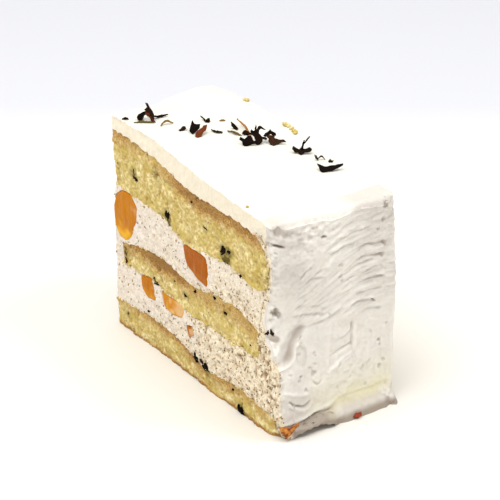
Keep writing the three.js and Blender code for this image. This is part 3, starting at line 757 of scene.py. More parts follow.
# %% Tones of the cream
torn_front = torn * smooth(2.2, 0.6, y - cut_face_y(-1, x, z))
# The end's surface with its small marks ironed out: what lies below it gets painted shade, what stands above it a
# painted highlight.
sheet = points[outer].reshape(len(path), len(across), 3)[:, :, 0]
ironed = sheet.copy()
for _ in range(10):  # the same surface with its small marks ironed out
    p = np.pad(ironed, 1, mode="edge")
    ironed = (p[:-2, 1:-1] + p[2:, 1:-1] + p[1:-1, :-2] + p[1:-1, 2:] + ironed) / 5
hollow = np.zeros(len(points))
hollow[outer] = (ironed - sheet).ravel()
on_end = outer & (way_along > 1.02) & (z > 0.6)
under_crease = z - crease(y)
# painted shade on the end: below the crease of the foot, over much of its upper part, and in a few spots
below = smooth(0.6, -0.8, under_crease) * smooth(-26, -14, y)
dusky = below * (1.2 - 0.3 * smooth(-1, 5, y)) + 1.05 * bump(y, -17, 9) * smooth(46, 62, z) * smooth(80, 72, z)
dusky += 0.8 * smooth(4, 12, y) * smooth(34, 42, z) + 0.5 * smooth(0, 10, y) * smooth(58, 66, z)
dusky += spots(y, z, ".5 -15 5 27 8 | .45 -7 4 33.5 5 | 1.1 -18 7 12 8 | .9 -21.5 4 75 3.4 | .4 -10 3 71 3")
dy, dz = y + 23, z - 36.6
beside_flake = np.hypot((0.93 * dy - 0.36 * dz) / 2.2, (0.36 * dy + 0.93 * dz) / 1.3)
steep_wall = smooth(-0.8, 0.6, y - scoop_floor(z)) * smooth(0.4, -0.8, y - scoop_rim(z))
steep_wall *= smooth(26, 28.4, z) * smooth(39, 36, z)
# painted shade: low along the end and under its lip, below the crease, on the scoop's steep wall, in pits and in folds
lip_shade = smooth(3.4, 1.0, z) * smooth(-24, -16, y) + 0.9 * below * smooth(1, -5, y) + 0.55 * steep_wall
lip_shade += 0.8 * smooth(1.1, 0.6, beside_flake) + spots(y, z, ".3 -21.5 3.5 75 2.8")
lip_shade += 0.8 * smooth(-0.5, -1.3, pit_marks(y, z)) + 0.5 * smooth(-0.3, -1.0, fold_marks(y, z))
# painted warm reflection in a band along the foot's crease, and low on the left of the end
reflection_band = bump(under_crease, -0.6, 3.0) * smooth(-7, 2, y) * smooth(25, 20, y) * (0.6 + 0.4 * noise((y, z), 4.0, 66))
reflection_band += 0.4 * smooth(24, 9, z) * smooth(-16, -8, y) * smooth(4, 8, z)
for name, where, values in (
    ("torn", True, torn_front), ("pore", True, torn_front * np.clip((torn_depth - 0.25) / 0.6, 0, 1)),
    ("scatter", True, torn_front > 0.5),
    ("sliced", z > 5, np.where(front, smooth(0.5, -1.5, past_torn), behind | cut_end)),
    ("on_top", outer & (way_along < 1), smooth(0.5, 2.5, iced_face(y, z) - x)),
    ("deep", on_end, np.clip(hollow / 0.3, 0, 1)), ("crest", on_end, np.clip(-hollow / 0.3, 0, 1)),
    ("dusky", x > 40, np.clip(dusky * (0.75 + 0.5 * noise((y, z), 5.0, 65)), 0, 1)),
    ("lip_shade", x > 40, np.clip(lip_shade, 0, 1)), ("buttery", x > 44, np.clip(reflection_band, 0, 1)),
):
    put_values(cream, name, np.where(where, values, 0))
    print(name, "is on", int(np.count_nonzero(np.where(where, values, 0) > 0.5)), "points")

# %% [markdown]
# ## Tea leaves on the top
# Dry tea leaves are thin, rolled and twisted, and they lie in heaps along the slice. The small ones are strips that
# narrow to their ends, bend over their neighbours, and are a little ragged along their edges. The large ones are
# torn flakes that stand up out of the heap. The tables give where each lies, how it stands and how it is coloured.

# %% Leaves
# x0, y0, x1, y1, rises of first end, middle and last end, width, bow, roll, twist, colour
TEA_LEAVES = rows("""
    -45.9 -22.2 -44.4 -20.4 0 .1 0 1.2 0 0 10 .1 | -39.2 -14.6 -38.7 -7.8 1.3 .2 .6 .9 .3 15 60 0 |
    -40.8 -20.6 -36.2 -15.2 0 .1 0 .9 .1 0 20 .8 | -38.8 -16.2 -36.2 -14.6 2.2 1.3 0 .9 0 40 30 .45 |
    -32.7 -14.8 -32 -10 0 .9 .3 .8 .9 10 80 .85 | -31 .6 -27 .3 .9 .3 0 .6 .3 0 60 .1 |
    -25.4 4.8 -24.2 6.5 0 .1 0 .6 0 0 0 .9 | -20.8 -1.8 -17.6 .8 .5 0 .3 .9 -.3 0 40 .2 |
    -20.4 8.8 -8.4 6.8 1.8 1.3 .3 .9 .4 0 140 1 | -17.8 3 -12.6 5.3 .2 .4 0 .8 -.2 0 40 .75 |
    8.4 15.4 8 16.9 .2 2.4 4.3 .8 0 0 30 0 | 8.1 16.2 9 18.6 2.4 3.6 5.8 .7 .6 0 60 0 |
    14 16.8 15.7 17.2 1.4 .6 0 .8 0 20 30 .1 | 15.1 17.4 16.4 19.6 .3 1 0 .6 .3 0 40 .3
""")
# x, y and height of the foot (nan for on the top), lean in degrees, colour, and the outline as along and up
FLAKES = rows("""
    -37.3 -15.6 nan 30 .12 -2.2 6.9 -1.4 6.8 -.4 5.2 .3 4 .9 2.6 1.1 .1 0 0 -.5 1.8 -1.4 3.4 -2.6 4.4 -1.6 5.4 |
    -40.2 -17.6 nan 45 0 -1.9 1.2 -1.4 2.4 .2 3.4 1.6 3.9 2.2 2.9 .8 2 .3 .6 -.4 0 -1.5 .4 |
    -38.4 -16.2 nan 25 .5 -1 2.6 -.5 3.8 .5 4 1 3 .6 1.9 -.3 1.8 |
    -21.5 -9 nan 50 0 -.2 5.2 .6 4 2.6 3.9 2.4 2.5 1 .9 0 0 -1.2 1.1 -.6 3.5 |
    -18.7 -8.7 nan 65 .6 -.9 1.3 0 3.3 1.4 4.5 1.8 5.5 3.1 5.5 2.7 3.7 1.8 2.6 1.2 1 0 0 -.8 .4 |
    -16.9 6 nan 40 .05 -2 2.9 -1 2.3 0 1.5 .8 .2 0 0 -1 .5 -1.7 1.5 |
    -5.6 1.6 nan 45 0 -1.8 2.4 -1.5 3.3 -.8 2.9 -.1 2.6 .6 3.3 1.2 3.8 2.2 3.6 2.8 2.7 3.2 1.9 4.2 1.8 4.2 .6 3.4 .6
        2.5 .7 1.3 .3 0 -.1 -.7 .8 -1 1.9 |
    -4.1 5.8 nan 32 .1 -5.2 3.7 -4.6 4.7 -3.8 4.9 -3 4.5 -1.8 3.7 -1.9 3.2 -2.6 3.4 -3.3 3.8 -4.1 4 -4.8 3.4 |
    -4.1 5.8 nan 32 .05 -.5 6.9 -.2 6.3 -.1 5.3 .2 5.7 .7 5.2 .7 4.1 1.4 3.2 2 2.3 1.8 1.1 1.2 .2 0 -.1 -.7 .9 -.6
        1.7 -1.1 2.7 -1.9 3.3 -2.4 4.6 -1.9 5.3 -1.4 4.6 -.9 4.9 -.7 5.9 |
    -4.1 5.8 nan 34 0 .1 5.4 .3 6.4 1.2 6.6 2 6 3 5.1 2.2 5.1 1.4 5.4 .7 5 |
    -4.1 5.8 nan 36 .1 .7 3.4 1.8 2.9 2.7 2.8 3.5 2.3 3 1.6 2 2 1 2.4 |
    -1.7 10.8 nan 34 0 -3.3 2.8 -2.8 3.5 -1.9 4.3 -1.3 4.7 -1 5.3 -.5 4.5 .2 4.2 1 3.8 1.1 3 .5 2.6 -.2 2.9 -.9 3.4
        -1.4 3 -2.2 2.6 -2.7 2.3 |
    -1.7 10.8 nan 36 .36 -2.4 2.5 -1.4 3.1 -.2 3 .6 2.6 .4 1.9 .1 0 -.7 .7 -1.7 1.9 |
    -.6 10.1 nan 64 .3 -2.3 3.9 -1.1 3.7 0 3.6 1.7 3 3.2 2.9 3.8 2.7 4.5 1.6 3.4 1.9 2.5 1.5 1.1 .8 0 -.1 -1.1 .5
        -1.7 1.9 -1.5 2.9 |
    -11.6 7.1 nan 45 0 -2 .7 -1 1.9 -.1 1.3 .9 .4 0 0 -1.2 .2 |
    9.6 14.2 nan 60 .05 -2.9 1.9 -2.5 3.3 -1.6 2.5 -.5 2.6 .1 3.3 .9 2.8 2.3 2.6 3.1 3.5 4 2.2 3.4 1.4 1.6 1.1 0 0
        -.8 1 -2.1 .8 |
    23.7 13.1 nan 62 0 -2 3.6 -1 2.7 1.4 2.8 4.3 3.4 7 4 6.9 3 4.9 1.8 2.1 .7 0 0 -.9 .7 -1.4 2.1 |
    19.1 19.6 nan 60 .15 -.7 .8 0 1.9 .5 1.2 1.3 1 .8 .3 0 0 -.5 .3 |
    -25.4 -11.6 nan 60 .1 -.6 .4 .2 1.4 1 2.4 1.8 2.1 2.1 1 .9 .3 0 0 |
    -26.5 .8 nan 50 0 -1 .9 -.2 1.6 .5 2 .8 .5 0 0 -.7 .3 |
    45.3 -24.4 36.4 0 .3 -1.5 2 -.7 2.3 -.1 3.3 .9 3.5 1.9 2.3 1.6 1.2 .7 1.3 .1 .2 -.5 1.3 -1 1.5
""")
LEAF_THICKNESS = 0.3


def leaf_points(u, v, w, row, seed):
    x0, y0, x1, y1, r0, r1, r2, width, bow, roll, twist, _ = row
    turn, angle, arch = math.atan2(y1 - y0, x1 - x0), np.radians(roll + twist * (u - 0.5)), np.sin(math.pi * u)
    ragged = 1 + 0.3 * noise((u * 9, np.full_like(u, seed)), 1, seed) * arch
    across = (v - 0.5) * width * ragged * (0.12 + 0.88 * np.sin(math.pi * lerp(0.06, 0.94, u)) ** 0.8)
    curl = 0.34 * width * (2 * v - 1) ** 2 * arch
    thick = (w - 0.5) * LEAF_THICKNESS + curl + 0.16 * noise((u * 7 + seed, v * 2.2), 1, seed + 1)
    side = across * np.cos(angle) - thick * np.sin(angle) + bow * arch
    lift = across * np.sin(angle) + thick * np.cos(angle) + through([(0, r0), (0.5, r1), (1, r2)])(u)
    x = lerp(x0, x1, u) - side * math.sin(turn)
    y = lerp(y0, y1, u) + side * math.cos(turn)
    return np.stack([x, y, top_z(x, y) + np.maximum(lift, -0.05) + LEAF_THICKNESS / 2], axis=1)


def joined(name, parts, tones):
    """One piece out of many (points, faces), with a tone for each."""
    counts = [len(points) for points, _ in parts]
    starts = [sum(counts[:k]) for k in range(len(parts))]
    rings = [[n + start for n in face] for (_, faces), start in zip(parts, starts) for face in faces]
    piece = make_piece(name, np.concatenate([points for points, _ in parts]), rings)
    put_values(piece, "tone", np.repeat(tones, counts))
    return piece


along = np.array([math.cos(TURN), math.sin(TURN), 0])
away = np.array([-math.sin(TURN), math.cos(TURN), 0])


def flake(row, seed, thick=LEAF_THICKNESS):
    """A torn flake of leaf: rings from its middle out to its rim and back behind it, bent and wrinkled."""
    x0, y0, z0, lean, _, *outline = row
    corners = np.reshape(outline, (-1, 2))
    after = np.roll(corners, -1, axis=0)
    if (corners[:, 0] * after[:, 1] - after[:, 0] * corners[:, 1]).sum() < 0:
        corners, after = corners[::-1], np.roll(corners[::-1], -1, axis=0)
    ring = np.concatenate([[lerp(p, q, t) for t in (0, 0.33, 0.67)] for p, q in zip(corners, after)])
    ring = shaken(ring.T, 0.12, 0.7, seed).T
    middle, count, width = ring.mean(axis=0), len(ring), np.ptp(ring[:, 0])
    stack = [(0.35, 1), (0.72, 1), (1.0, 0.5), (1.0, -0.5), (0.72, -1), (0.35, -1)]
    a, b = np.concatenate([middle + (ring - middle) * share for share, _ in stack] + [[middle, middle]]).T
    side = np.concatenate([np.full(count, at) for _, at in stack] + [[1, -1]])
    bend = min(0.12 * width, 0.5) * ((a - middle[0]) / width * 2) ** 2 + 0.35 * noise((a, b), 1.3, seed + 2) - 0.15
    up = math.cos(math.radians(lean)) * np.array([0, 0, 1]) + math.sin(math.radians(lean)) * away
    out = np.outer(bend + side * thick / 2, np.cross(along, up))
    points = np.array([x0, y0, np.nan_to_num(z0)]) + np.outer(a, along) + np.outer(b, up) + out
    if np.isnan(z0):
        points[:, 2] = np.maximum(points[:, 2], -0.1) + top_z(points[:, 0], points[:, 1]) + 0.1
    return points, tube_faces(count, len(stack), len(points) - 2, len(points) - 1)


leaf_parts = [
    closed_box(even(22), even(6), even(1), lambda u, v, w, row=row, k=k: leaf_points(u, v, w, row, 900 + 3 * k))[:2]
    for k, row in enumerate(TEA_LEAVES)
]
leaf_parts += [flake(row, 1100 + 5 * k) for k, row in enumerate(FLAKES)]
leaves = joined("tea_leaves", leaf_parts, [row[-1] for row in TEA_LEAVES] + [row[4] for row in FLAKES])
print("tea_leaves", len(leaves.data.vertices), "points in", len(leaf_parts), "leaves")

# %% [markdown]
# ## Tea baked into the sponge
# Larger pieces of leaf were cut through with the cake. Each is a lump of ragged leaf that stands a little proud of the
# cut. The table gives where it lies in the front cut, its length and width, its tilt and its colour.

# %% Baked-in leaf
# x, z, length, width, tilt in degrees, tone
BAKED_LEAF = rows("""
    -17 56.4 3 1.7 -70 0 | -15.9 54.2 2.2 1 -60 .8 | -37.8 64.4 3 .8 -85 .3 | -36.9 62.6 1.6 .7 -30 .1 |
    -23.1 69.9 2.6 1.1 -25 .9 | -48.4 64.5 .7 .6 0 .1 | -44.9 31.6 3 .7 -84 .75 | -44.6 28 1.8 .9 -60 .4 |
    -26 28.6 1.9 .6 35 .2 | -24.9 27.6 2.2 .7 -30 .1 | -25.3 26.6 1.6 .6 10 .3 | -5.6 30.5 1.6 1.3 50 0 |
    .8 34.7 1 .9 0 .15 | 13.7 38 1.5 .8 -30 0 | 19.6 35 1.7 1.4 20 .05 | 28.8 52.4 1.2 .8 -20 0 |
    1.3 9.5 2.6 1.6 -20 0 | 8.2 8.5 3.4 2 -12 0 | 5 9.4 2 1 -25 .2 | 28.4 1.3 3.2 1.8 12 0 |
    18.6 57.6 3.4 1.5 15 .05 | 21.8 58.6 2.4 1.6 30 .02 | 20.4 55.8 3.4 2 5 .78 | 7.8 61.7 2 .5 -18 .3 |
    3.5 71.3 .8 .6 0 .1 | -.5 68.2 .8 .6 30 .2 | 34.5 29.1 .9 .7 0 .1 | -29.7 13.9 1.2 .8 10 .3 |
    -43.7 6.9 1.8 .8 25 .7 | -12.6 33 .8 .6 0 .2 | 24.4 7.4 .9 .6 0 .1
""")


def lump(middle, axes, seed, rough=0.28, rings=7, sides=10):
    """A closed lump round a point. axes are three vectors, half its length, width and thickness."""
    phi = np.repeat(np.linspace(0, math.pi, rings + 2)[1:-1], sides)
    turn = np.tile(np.linspace(0, 2 * math.pi, sides, endpoint=False), rings)
    ball = np.stack([np.cos(phi), np.sin(phi) * np.cos(turn), np.sin(phi) * np.sin(turn)], axis=1)
    ball = np.concatenate([ball, [[1, 0, 0], [-1, 0, 0]]])
    coarse, fine = noise(ball.T + 7.3 * seed, 0.55, seed), noise(ball.T + 3.1 * seed, 0.25, seed)
    ball *= (1 + rough * coarse + 0.5 * rough * fine)[:, None]
    faces = tube_faces(sides, rings, rings * sides, rings * sides + 1)
    if np.linalg.det(np.array(axes)) < 0:
        faces = [face[::-1] for face in faces]
    return np.asarray(middle) + ball @ np.array(axes), faces


def baked_pieces(k, row):
    """A few ragged lumps on one another, as a crushed leaf swells and breaks in the batter."""
    x, z, length, width, tilt, _ = row
    t = math.radians(tilt)
    for part in range(1 + int(length > 1.2) + 2 * int(length > 2.1)):
        deal = [float(d) for d in dice(np.array([[k, part, n] for n in range(5)]), 1300)]
        size, a, b, turn = 1.15, 0, 0, t
        if part:
            size, turn = lerp(0.35, 0.75, deal[0]), t + (deal[3] - 0.5) * 2.4
            a, b = (deal[1] - 0.5) * length, (deal[2] - 0.5) * 1.5 * width
        px, pz = x + a * math.cos(t) - b * math.sin(t), z + a * math.sin(t) + b * math.cos(t)
        cos, sin = size / 2 * math.cos(turn), size / 2 * math.sin(turn)
        axes = [(length * cos, 0, length * sin), (-width * sin, 0, width * cos), (0, 0.42, 0)]
        middle = place_in_cut("front", np.float64(px), np.float64(pz), 0.25)
        points, faces = lump(middle, axes, 1200 + 7 * k + part, rough=0.45, rings=11, sides=16)
        points[:, 2] = np.maximum(points[:, 2], 0.05)
        yield points, faces


baked_parts = [(part, row[-1]) for k, row in enumerate(BAKED_LEAF) for part in baked_pieces(k, row)]
baked = joined("baked_tea", *zip(*baked_parts))
print("baked_tea", len(baked.data.vertices), "points")

# %% Scraps of crust, and crumbs
CRUST_SCRAPS = rows("""
    53.2 -22.6 1.4 20 .2 -2.3 3.6 -.6 4.3 1.2 3.6 2.8 4.9 4.5 5.9 4.1 4.3 2.5 2.7 1.3 1 0 0 -.8 1.3 -1.8 2.1 |
    53.9 5.2 .4 45 .9 -.3 .6 .6 1.9 2.5 2.3 2.6 1.1 1.4 .1 0 0
""")
# x, y, half-length, half-width, half-height
CRUMBS = rows("""
    -34.4 22.3 1.1 .9 .6 | -33.4 22.6 .7 .6 .5 | -11.8 23.1 1.2 .8 .7 | -10.4 23.6 .9 .8 .6 |
    -8.2 23.3 .8 .7 .7 | -6 23 1.2 .9 .6 | -4.8 22.4 .8 .7 .5 | 30.5 -22.6 .5 .5 .4
""")
# x, z, size
END_CRUMBS = rows("""
    43.4 57.6 .9 | 44.6 59.4 .8 | 42 55.8 .7 | 44.9 56.4 .6 | 45.2 61.6 .7 | 43.6 54.2 .5 | 44.4 64.2 .5 |
    42.6 52.2 .4 | 39.6 35.6 .5 | 40.6 33.2 .4 | 40.2 29 .5
""")
scrap_parts = [flake(row, 1500 + 5 * k, 0.8) for k, row in enumerate(CRUST_SCRAPS)]
scraps = joined("crust_scraps", scrap_parts, [row[4] for row in CRUST_SCRAPS])
crumb_parts = [
    lump(place_in_cut("front", x, z, -0.15), np.diag([size, 0.6 * size, 0.9 * size]), 1650 + k, 0.5, 11, 16)
    for k, (x, z, size) in enumerate(END_CRUMBS)
]
for k, (x, y, *half) in enumerate(CRUMBS):
    on_top = float(top_z(np.array([x]), np.array([y]))[0])
    crumb_parts.append(lump((x, y, on_top + 0.5 * half[2]), np.diag(half), 1600 + k, 0.4, 11, 16))
crumbs = joined("sponge_crumbs", crumb_parts, [0.0] * len(crumb_parts))
put_values(crumbs, "stain", 0.35 * (points_of(crumbs)[:, 1] < 0))
print("scraps and crumbs", len(scraps.data.vertices), len(crumbs.data.vertices), "points")

# %% Values for the layers
SKIN_ALONG = {seed: rows(text) for seed, text in (  # how brown the skin of each sponge is, as x and share
    (100, "-51 .9 | -40 .85 | -30 .35 | -18 .65 | -8 1.1 | 6 1.15 | 20 1.1 | 36 1.05 | 44 .6"),
    (200, "-46 .7 | -38 1 | -30 1.2 | -20 1.35 | -8 1.2 | 2 .8 | 20 .65 | 39 .75"),
    (300, "-51 .55 | -40 .7 | -24 1.05 | -6 1.1 | 6 .9 | 24 .85 | 49 .5"),
)}


def stains(x, y, z):
    """The sponge is stained round each baked-in leaf."""
    stain = np.zeros_like(x)
    ragged = 0.8 * noise((x, z), 1.5, 64)
    for bx, bz, length, width, _, _ in BAKED_LEAF:
        near = smooth(0.95 * length + 1.0, 0.35 * length, np.hypot(x - bx, z - bz) + ragged)
        stain += np.where(y < 0, near, 0) * min(1, 0.26 * length * width)
    return np.clip(stain, 0, 1)


def spotting(x, y, z):
    """How full of tea the filling is: less to the left, high up and round the peach in the front cut."""
    spotted = (0.3 + 0.7 * smooth(-34, 24, x) * smooth(58, 34, z)) * np.where(y < 0, 1, 0.8)
    for cut, _, outline in PEACHES.values():
        if cut == "front":
            (a0, b0), (a1, b1) = np.min(outline, axis=0), np.max(outline, axis=0)
            gap = np.hypot((x - (a0 + a1) / 2) / (a1 - a0), (z - (b0 + b1) / 2) / (b1 - b0)) * 2
            spotted = spotted * np.where(y < 0, 0.25 + 0.75 * smooth(1.1, 1.7, gap), 1)
    return spotted


def dress_layer(piece, relief, seed, top_height=None, floor_skin=False):
    """Stores painted shade for how far down the holes of its cut faces each point lies, and how near the browned skin
    of its sponge.
    """
    x, y, z = points_of(piece).T
    gap = inward(x, y, z)
    depth = np.choose(gap.argmin(axis=0), [relief(x, z, seed), relief(x, z, seed + 50), relief(y, z, seed + 90)])
    put_values(piece, "pore", np.where(gap.min(axis=0) < 2.5, np.clip((depth - 0.25) / 0.6, 0, 1), 0))
    skin = np.zeros_like(x)
    if top_height is not None:
        fallen = top_height(x, y) - z + 0.8 * noise((x, y, z), 1.6, seed + 5) + 0.7 * noise((x, y, z), 0.8, seed + 8)
        thick = (3.6 if floor_skin else 5.4) + 1.2 * noise((x, y), 11, seed + 7)
        skin = through(SKIN_ALONG[seed])(x) * smooth(thick + 2.0, thick - 3.2, fallen)
    if floor_skin:
        skin = np.maximum(skin, 1.15 * smooth(1.9, 0.5, z + 0.5 * noise((x, y), 2.4, seed + 6)))
    put_values(piece, "skin", skin)
    put_values(piece, "stain", stains(x, y, z))
    put_values(piece, "spotted", spotting(x, y, z))


dress_layer(sponges["sponge_upper"], crumb, 100, under_top_cream)
dress_layer(sponges["sponge_middle"], crumb, 200, middle_sponge_top)
dress_layer(sponges["sponge_lower"], crumb, 300, lower_sponge_top, floor_skin=True)
dress_layer(fillings["filling_upper"], whipped, 400)
dress_layer(fillings["filling_lower"], whipped, 500)
# edges sharper than this many degrees stay sharp
for pieces, degrees in (([*sponges.values(), *fillings.values()], 55), ([cream], 62), ([leaves], 50)):
    for piece in pieces:
        piece.data.set_sharp_from_angle(angle=math.radians(degrees))

# %% Values for the peach
# How ripe each chunk is at its foot and at its top, from pale yellow at 0 to deep amber at 1, how smeared with cream
# it is, and from where along it
PEACH_TONES = rows("""
    0 .66 .6 .88 | .85 1 0 1 | .35 .75 .3 .9 | .35 .5 .85 .42 | .5 .9 .8 .35 | .4 .8 .3 .8 | .2 .6 .3 .7 |
    .5 .9 .3 .8 | .3 .7 .3 .8
""")
for piece, (foot, head, smeared, start) in zip(peaches.values(), PEACH_TONES):
    x, y, z = points_of(piece).T
    up = np.clip((z - z.min()) / (z.max() - z.min()), 0, 1)
    put_values(piece, "flesh", lerp(foot, head, smooth(0.05, 0.4, up + 0.1 * noise((x, z), 2.5, 41))))
    from_start = (x - x.min()) / (x.max() - x.min()) - start
    patches = smooth(-0.1, 0.35, 0.45 * noise((x, z), 2.0, 43) + 1.6 * from_start)
    put_values(piece, "smear", np.where(y < 0, smeared, smeared * 0.5) * patches)

# %% [markdown]
# ## Specks in the filling
# The filling is full of finely ground tea. Thousands of grains are far quicker to scatter with Geometry Nodes than to
# place: points are dealt over the cut faces with a seed, a rough grain is put on each, turned and sized at random, and
# the whole is turned into one plain mesh.

# %% Scatter tool
def grain_source(name, seed):
    grain = make_piece(name, *lump((0, 0, 0), np.diag([0.5, 0.36, 0.22]), seed, rough=0.3, rings=3, sides=5))
    grain.hide_render = True
    return grain


SCATTER = bpy.data.node_groups.new("scatter_grains", "GeometryNodeTree")
SOCKETS = {}
for way, label, kind, value in (
    ("INPUT", "Geometry", "Geometry", None), ("INPUT", "Grain", "Object", None), ("INPUT", "Density", "Float", 1.0),
    ("INPUT", "Smallest", "Float", 0.3), ("INPUT", "Largest", "Float", 1.0), ("INPUT", "Seed", "Int", 1),
    ("INPUT", "Material", "Material", None), ("OUTPUT", "Geometry", "Geometry", None),
):
    socket = SCATTER.interface.new_socket(label, in_out=way, socket_type="NodeSocket" + kind)
    if value is not None:
        socket.default_value = value
    if way == "INPUT":
        SOCKETS[label] = socket.identifier
nodes = {name: SCATTER.nodes.new(kind) for name, kind in {
    "given": "NodeGroupInput", "chance": "GeometryNodeInputNamedAttribute", "spread": "ShaderNodeMath",
    "deal": "GeometryNodeDistributePointsOnFaces", "grain": "GeometryNodeObjectInfo",
    "size": "FunctionNodeRandomValue", "turn": "FunctionNodeRandomValue", "tone": "FunctionNodeRandomValue",
    "place": "GeometryNodeInstanceOnPoints", "keep": "GeometryNodeStoreNamedAttribute",
    "real": "GeometryNodeRealizeInstances", "paint": "GeometryNodeSetMaterial", "out": "NodeGroupOutput",
}.items()}
for name in ("chance", "size", "tone", "keep"):
    nodes[name].data_type = "FLOAT"
nodes["turn"].data_type, nodes["turn"].inputs[1].default_value = "FLOAT_VECTOR", (6.283, 6.283, 6.283)
nodes["spread"].operation, nodes["keep"].domain = "MULTIPLY", "INSTANCE"
nodes["chance"].inputs["Name"].default_value, nodes["keep"].inputs["Name"].default_value = "scatter", "tone"
for start, output, end, socket in (
    ("given", "Geometry", "deal", "Mesh"), ("given", "Density", "spread", 0), ("chance", "Attribute", "spread", 1),
    ("spread", 0, "deal", "Density"), ("given", "Seed", "deal", "Seed"), ("given", "Grain", "grain", "Object"),
    ("deal", "Points", "place", "Points"), ("grain", "Geometry", "place", "Instance"),
    ("given", "Smallest", "size", 2), ("given", "Largest", "size", 3), ("given", "Seed", "size", "Seed"),
    ("given", "Seed", "turn", "Seed"), ("given", "Seed", "tone", "Seed"), ("size", 1, "place", "Scale"),
    ("turn", 0, "place", "Rotation"), ("place", "Instances", "keep", "Geometry"), ("tone", 1, "keep", "Value"),
    ("keep", "Geometry", "real", "Geometry"), ("real", "Geometry", "paint", "Geometry"),
    ("given", "Material", "paint", "Material"), ("paint", "Geometry", "out", "Geometry"),
):
    SCATTER.links.new(nodes[start].outputs[output], nodes[end].inputs[socket])
print("scatter tool:", len(SCATTER.nodes), "nodes and", len(SCATTER.links), "links")


def scatter(name, on, seed, **values):
    """A plain mesh of grains over the parts of a piece where its scatter value isn't 0. density is per square mm."""
    piece = add_object(name, on.data.copy())
    tool = piece.modifiers.new("scatter", "NODES")
    tool.node_group = SCATTER
    values["density"] /= MM**2
    for label, value in {**values, "seed": seed}.items():
        tool[SOCKETS[label.capitalize()]] = value
    bake(piece)
    print(name, len(piece.data.vertices), "points")
    return piece


# %% [markdown]
# ## Materials
# Everything here scatters light: cream most, crumb less, and dry leaf hardly at all. Patterns read the Object
# coordinates, scaled to millimetres, so that they stay on the food from any side. Two node groups are shared: one
# gives an uneven tone, the other scattered specks. Each helper adds to the tree that is in hand.

# %% Node helpers
def feed(socket, value):
    if isinstance(value, bpy.types.NodeSocket):
        tree.links.new(value, socket)
    else:
        socket.default_value = value


def add_node(kind, settings=None, **values):
    """A node in the tree in hand. i0, i1 and so on stand for its sockets by number."""
    node = tree.nodes.new(kind)
    for key, value in (settings or {}).items():
        setattr(node, key, value)
    for key, value in values.items():
        feed(node.inputs[int(key[1:]) if key[1:].isdigit() else key.replace("_", " ")], value)
    return node


def paint(colour):
    """Three numbers as paint charts give a colour, from 0 to 255, made linear for the shader. All else passes."""
    if not isinstance(colour, tuple) or len(colour) != 3:
        return colour
    parts = [c / 255 for c in colour]
    return (*[c / 12.92 if c <= 0.04045 else ((c + 0.055) / 1.055) ** 2.4 for c in parts], 1)


def mix(share, first, second, blend="MIX"):
    settings = {"data_type": "RGBA", "blend_type": blend}
    return add_node("ShaderNodeMix", settings, i0=share, i6=paint(first), i7=paint(second)).outputs[2]


def maths(operation, *values):
    return add_node("ShaderNodeMath", {"operation": operation}, **{f"i{n}": v for n, v in enumerate(values)}).outputs[0]


def times(first, second):
    return maths("MULTIPLY", first, second)


def ranged(value, low, high, high_gives=1.0, kind="LINEAR"):
    ends = {"From_Min": low, "From_Max": high, "To_Min": 0.0, "To_Max": high_gives}
    return add_node("ShaderNodeMapRange", {"interpolation_type": kind}, Value=value, **ends).outputs[0]


def cloudy(scale, detail, output="Fac", **more):
    return add_node("ShaderNodeTexNoise", **{"Vector": place, **more}, Scale=scale, Detail=detail).outputs[output]


def stretched(**values):
    return add_node("ShaderNodeMapping", i0=place, **values).outputs[0]


def ramp(value, *stops):
    """The colour for a value, from stops of where they are and their colour."""
    node = add_node("ShaderNodeValToRGB", Fac=value)
    while len(node.color_ramp.elements) < len(stops):
        node.color_ramp.elements.new(0.5)
    for element, (at, colour) in zip(node.color_ramp.elements, stops):
        element.position, element.color = at, paint(colour)
    return node.outputs["Color"]


def value_of(name):
    return add_node("ShaderNodeAttribute", {"attribute_name": name}).outputs["Fac"]


def group_node(group, **values):
    return add_node("ShaderNodeGroup", {"node_tree": group}, Vector=place, **values).outputs


# %% Shared node groups
def new_group(name, ins, outs):
    group = bpy.data.node_groups.new(name, "ShaderNodeTree")
    group.interface.new_socket("Vector", in_out="INPUT", socket_type="NodeSocketVector")
    for label, value in ins.items():
        group.interface.new_socket(label, in_out="INPUT", socket_type="NodeSocketFloat").default_value = value
    for label in outs:
        group.interface.new_socket(label, in_out="OUTPUT", socket_type="NodeSocketFloat")
    given = group.nodes.new("NodeGroupInput").outputs
    return group, given, given["Vector"], group.nodes.new("NodeGroupOutput").inputs


tree, given, place, out = new_group("uneven_tone", {"Coarse": 0.3, "Fine": 1.5}, ["Coarse tone", "Fine tone"])
uneven = tree
for label, detail in (("Coarse", 3.0), ("Fine", 4.0)):
    feed(out[label + " tone"], cloudy(given[label], detail))

tree, given, place, out = new_group("specks", {"Scale": 1.0, "Share": 0.5, "Size": 0.3}, ["Mask", "Tone"])
specks = tree
shift = {"i0": cloudy(2.5, 2.0, "Color"), "i1": (0.5, 0.5, 0.5), "i2": place}
shifted = add_node("ShaderNodeVectorMath", {"operation": "MULTIPLY_ADD"}, **shift).outputs[0]
cells = add_node("ShaderNodeTexVoronoi", Vector=shifted, Scale=given["Scale"]).outputs
dealt = add_node("ShaderNodeSeparateColor", Color=cells["Color"]).outputs
own_size = times(given["Size"], maths("MULTIPLY_ADD", dealt["Green"], 0.8, 0.4))
inside = ranged(maths("DIVIDE", cells["Distance"], own_size), 1.15, 0.75, kind="SMOOTHSTEP")
feed(out["Mask"], times(inside, maths("LESS_THAN", dealt["Red"], given["Share"])))
feed(out["Tone"], dealt["Blue"])
print("shared groups:", uneven.name, len(uneven.nodes), "nodes,", specks.name, len(specks.nodes), "nodes")


# %% A material to fill in
def new_material(name):
    """A material with its tree, its shader and the place in millimetres."""
    global tree
    material = bpy.data.materials.new(name)
    material.use_nodes = True
    tree = material.node_tree
    millimetres = add_node("ShaderNodeMapping", i0=add_node("ShaderNodeTexCoord").outputs["Object"], i3=(1000,) * 3)
    return material, tree.nodes["Principled BSDF"], millimetres.outputs[0]


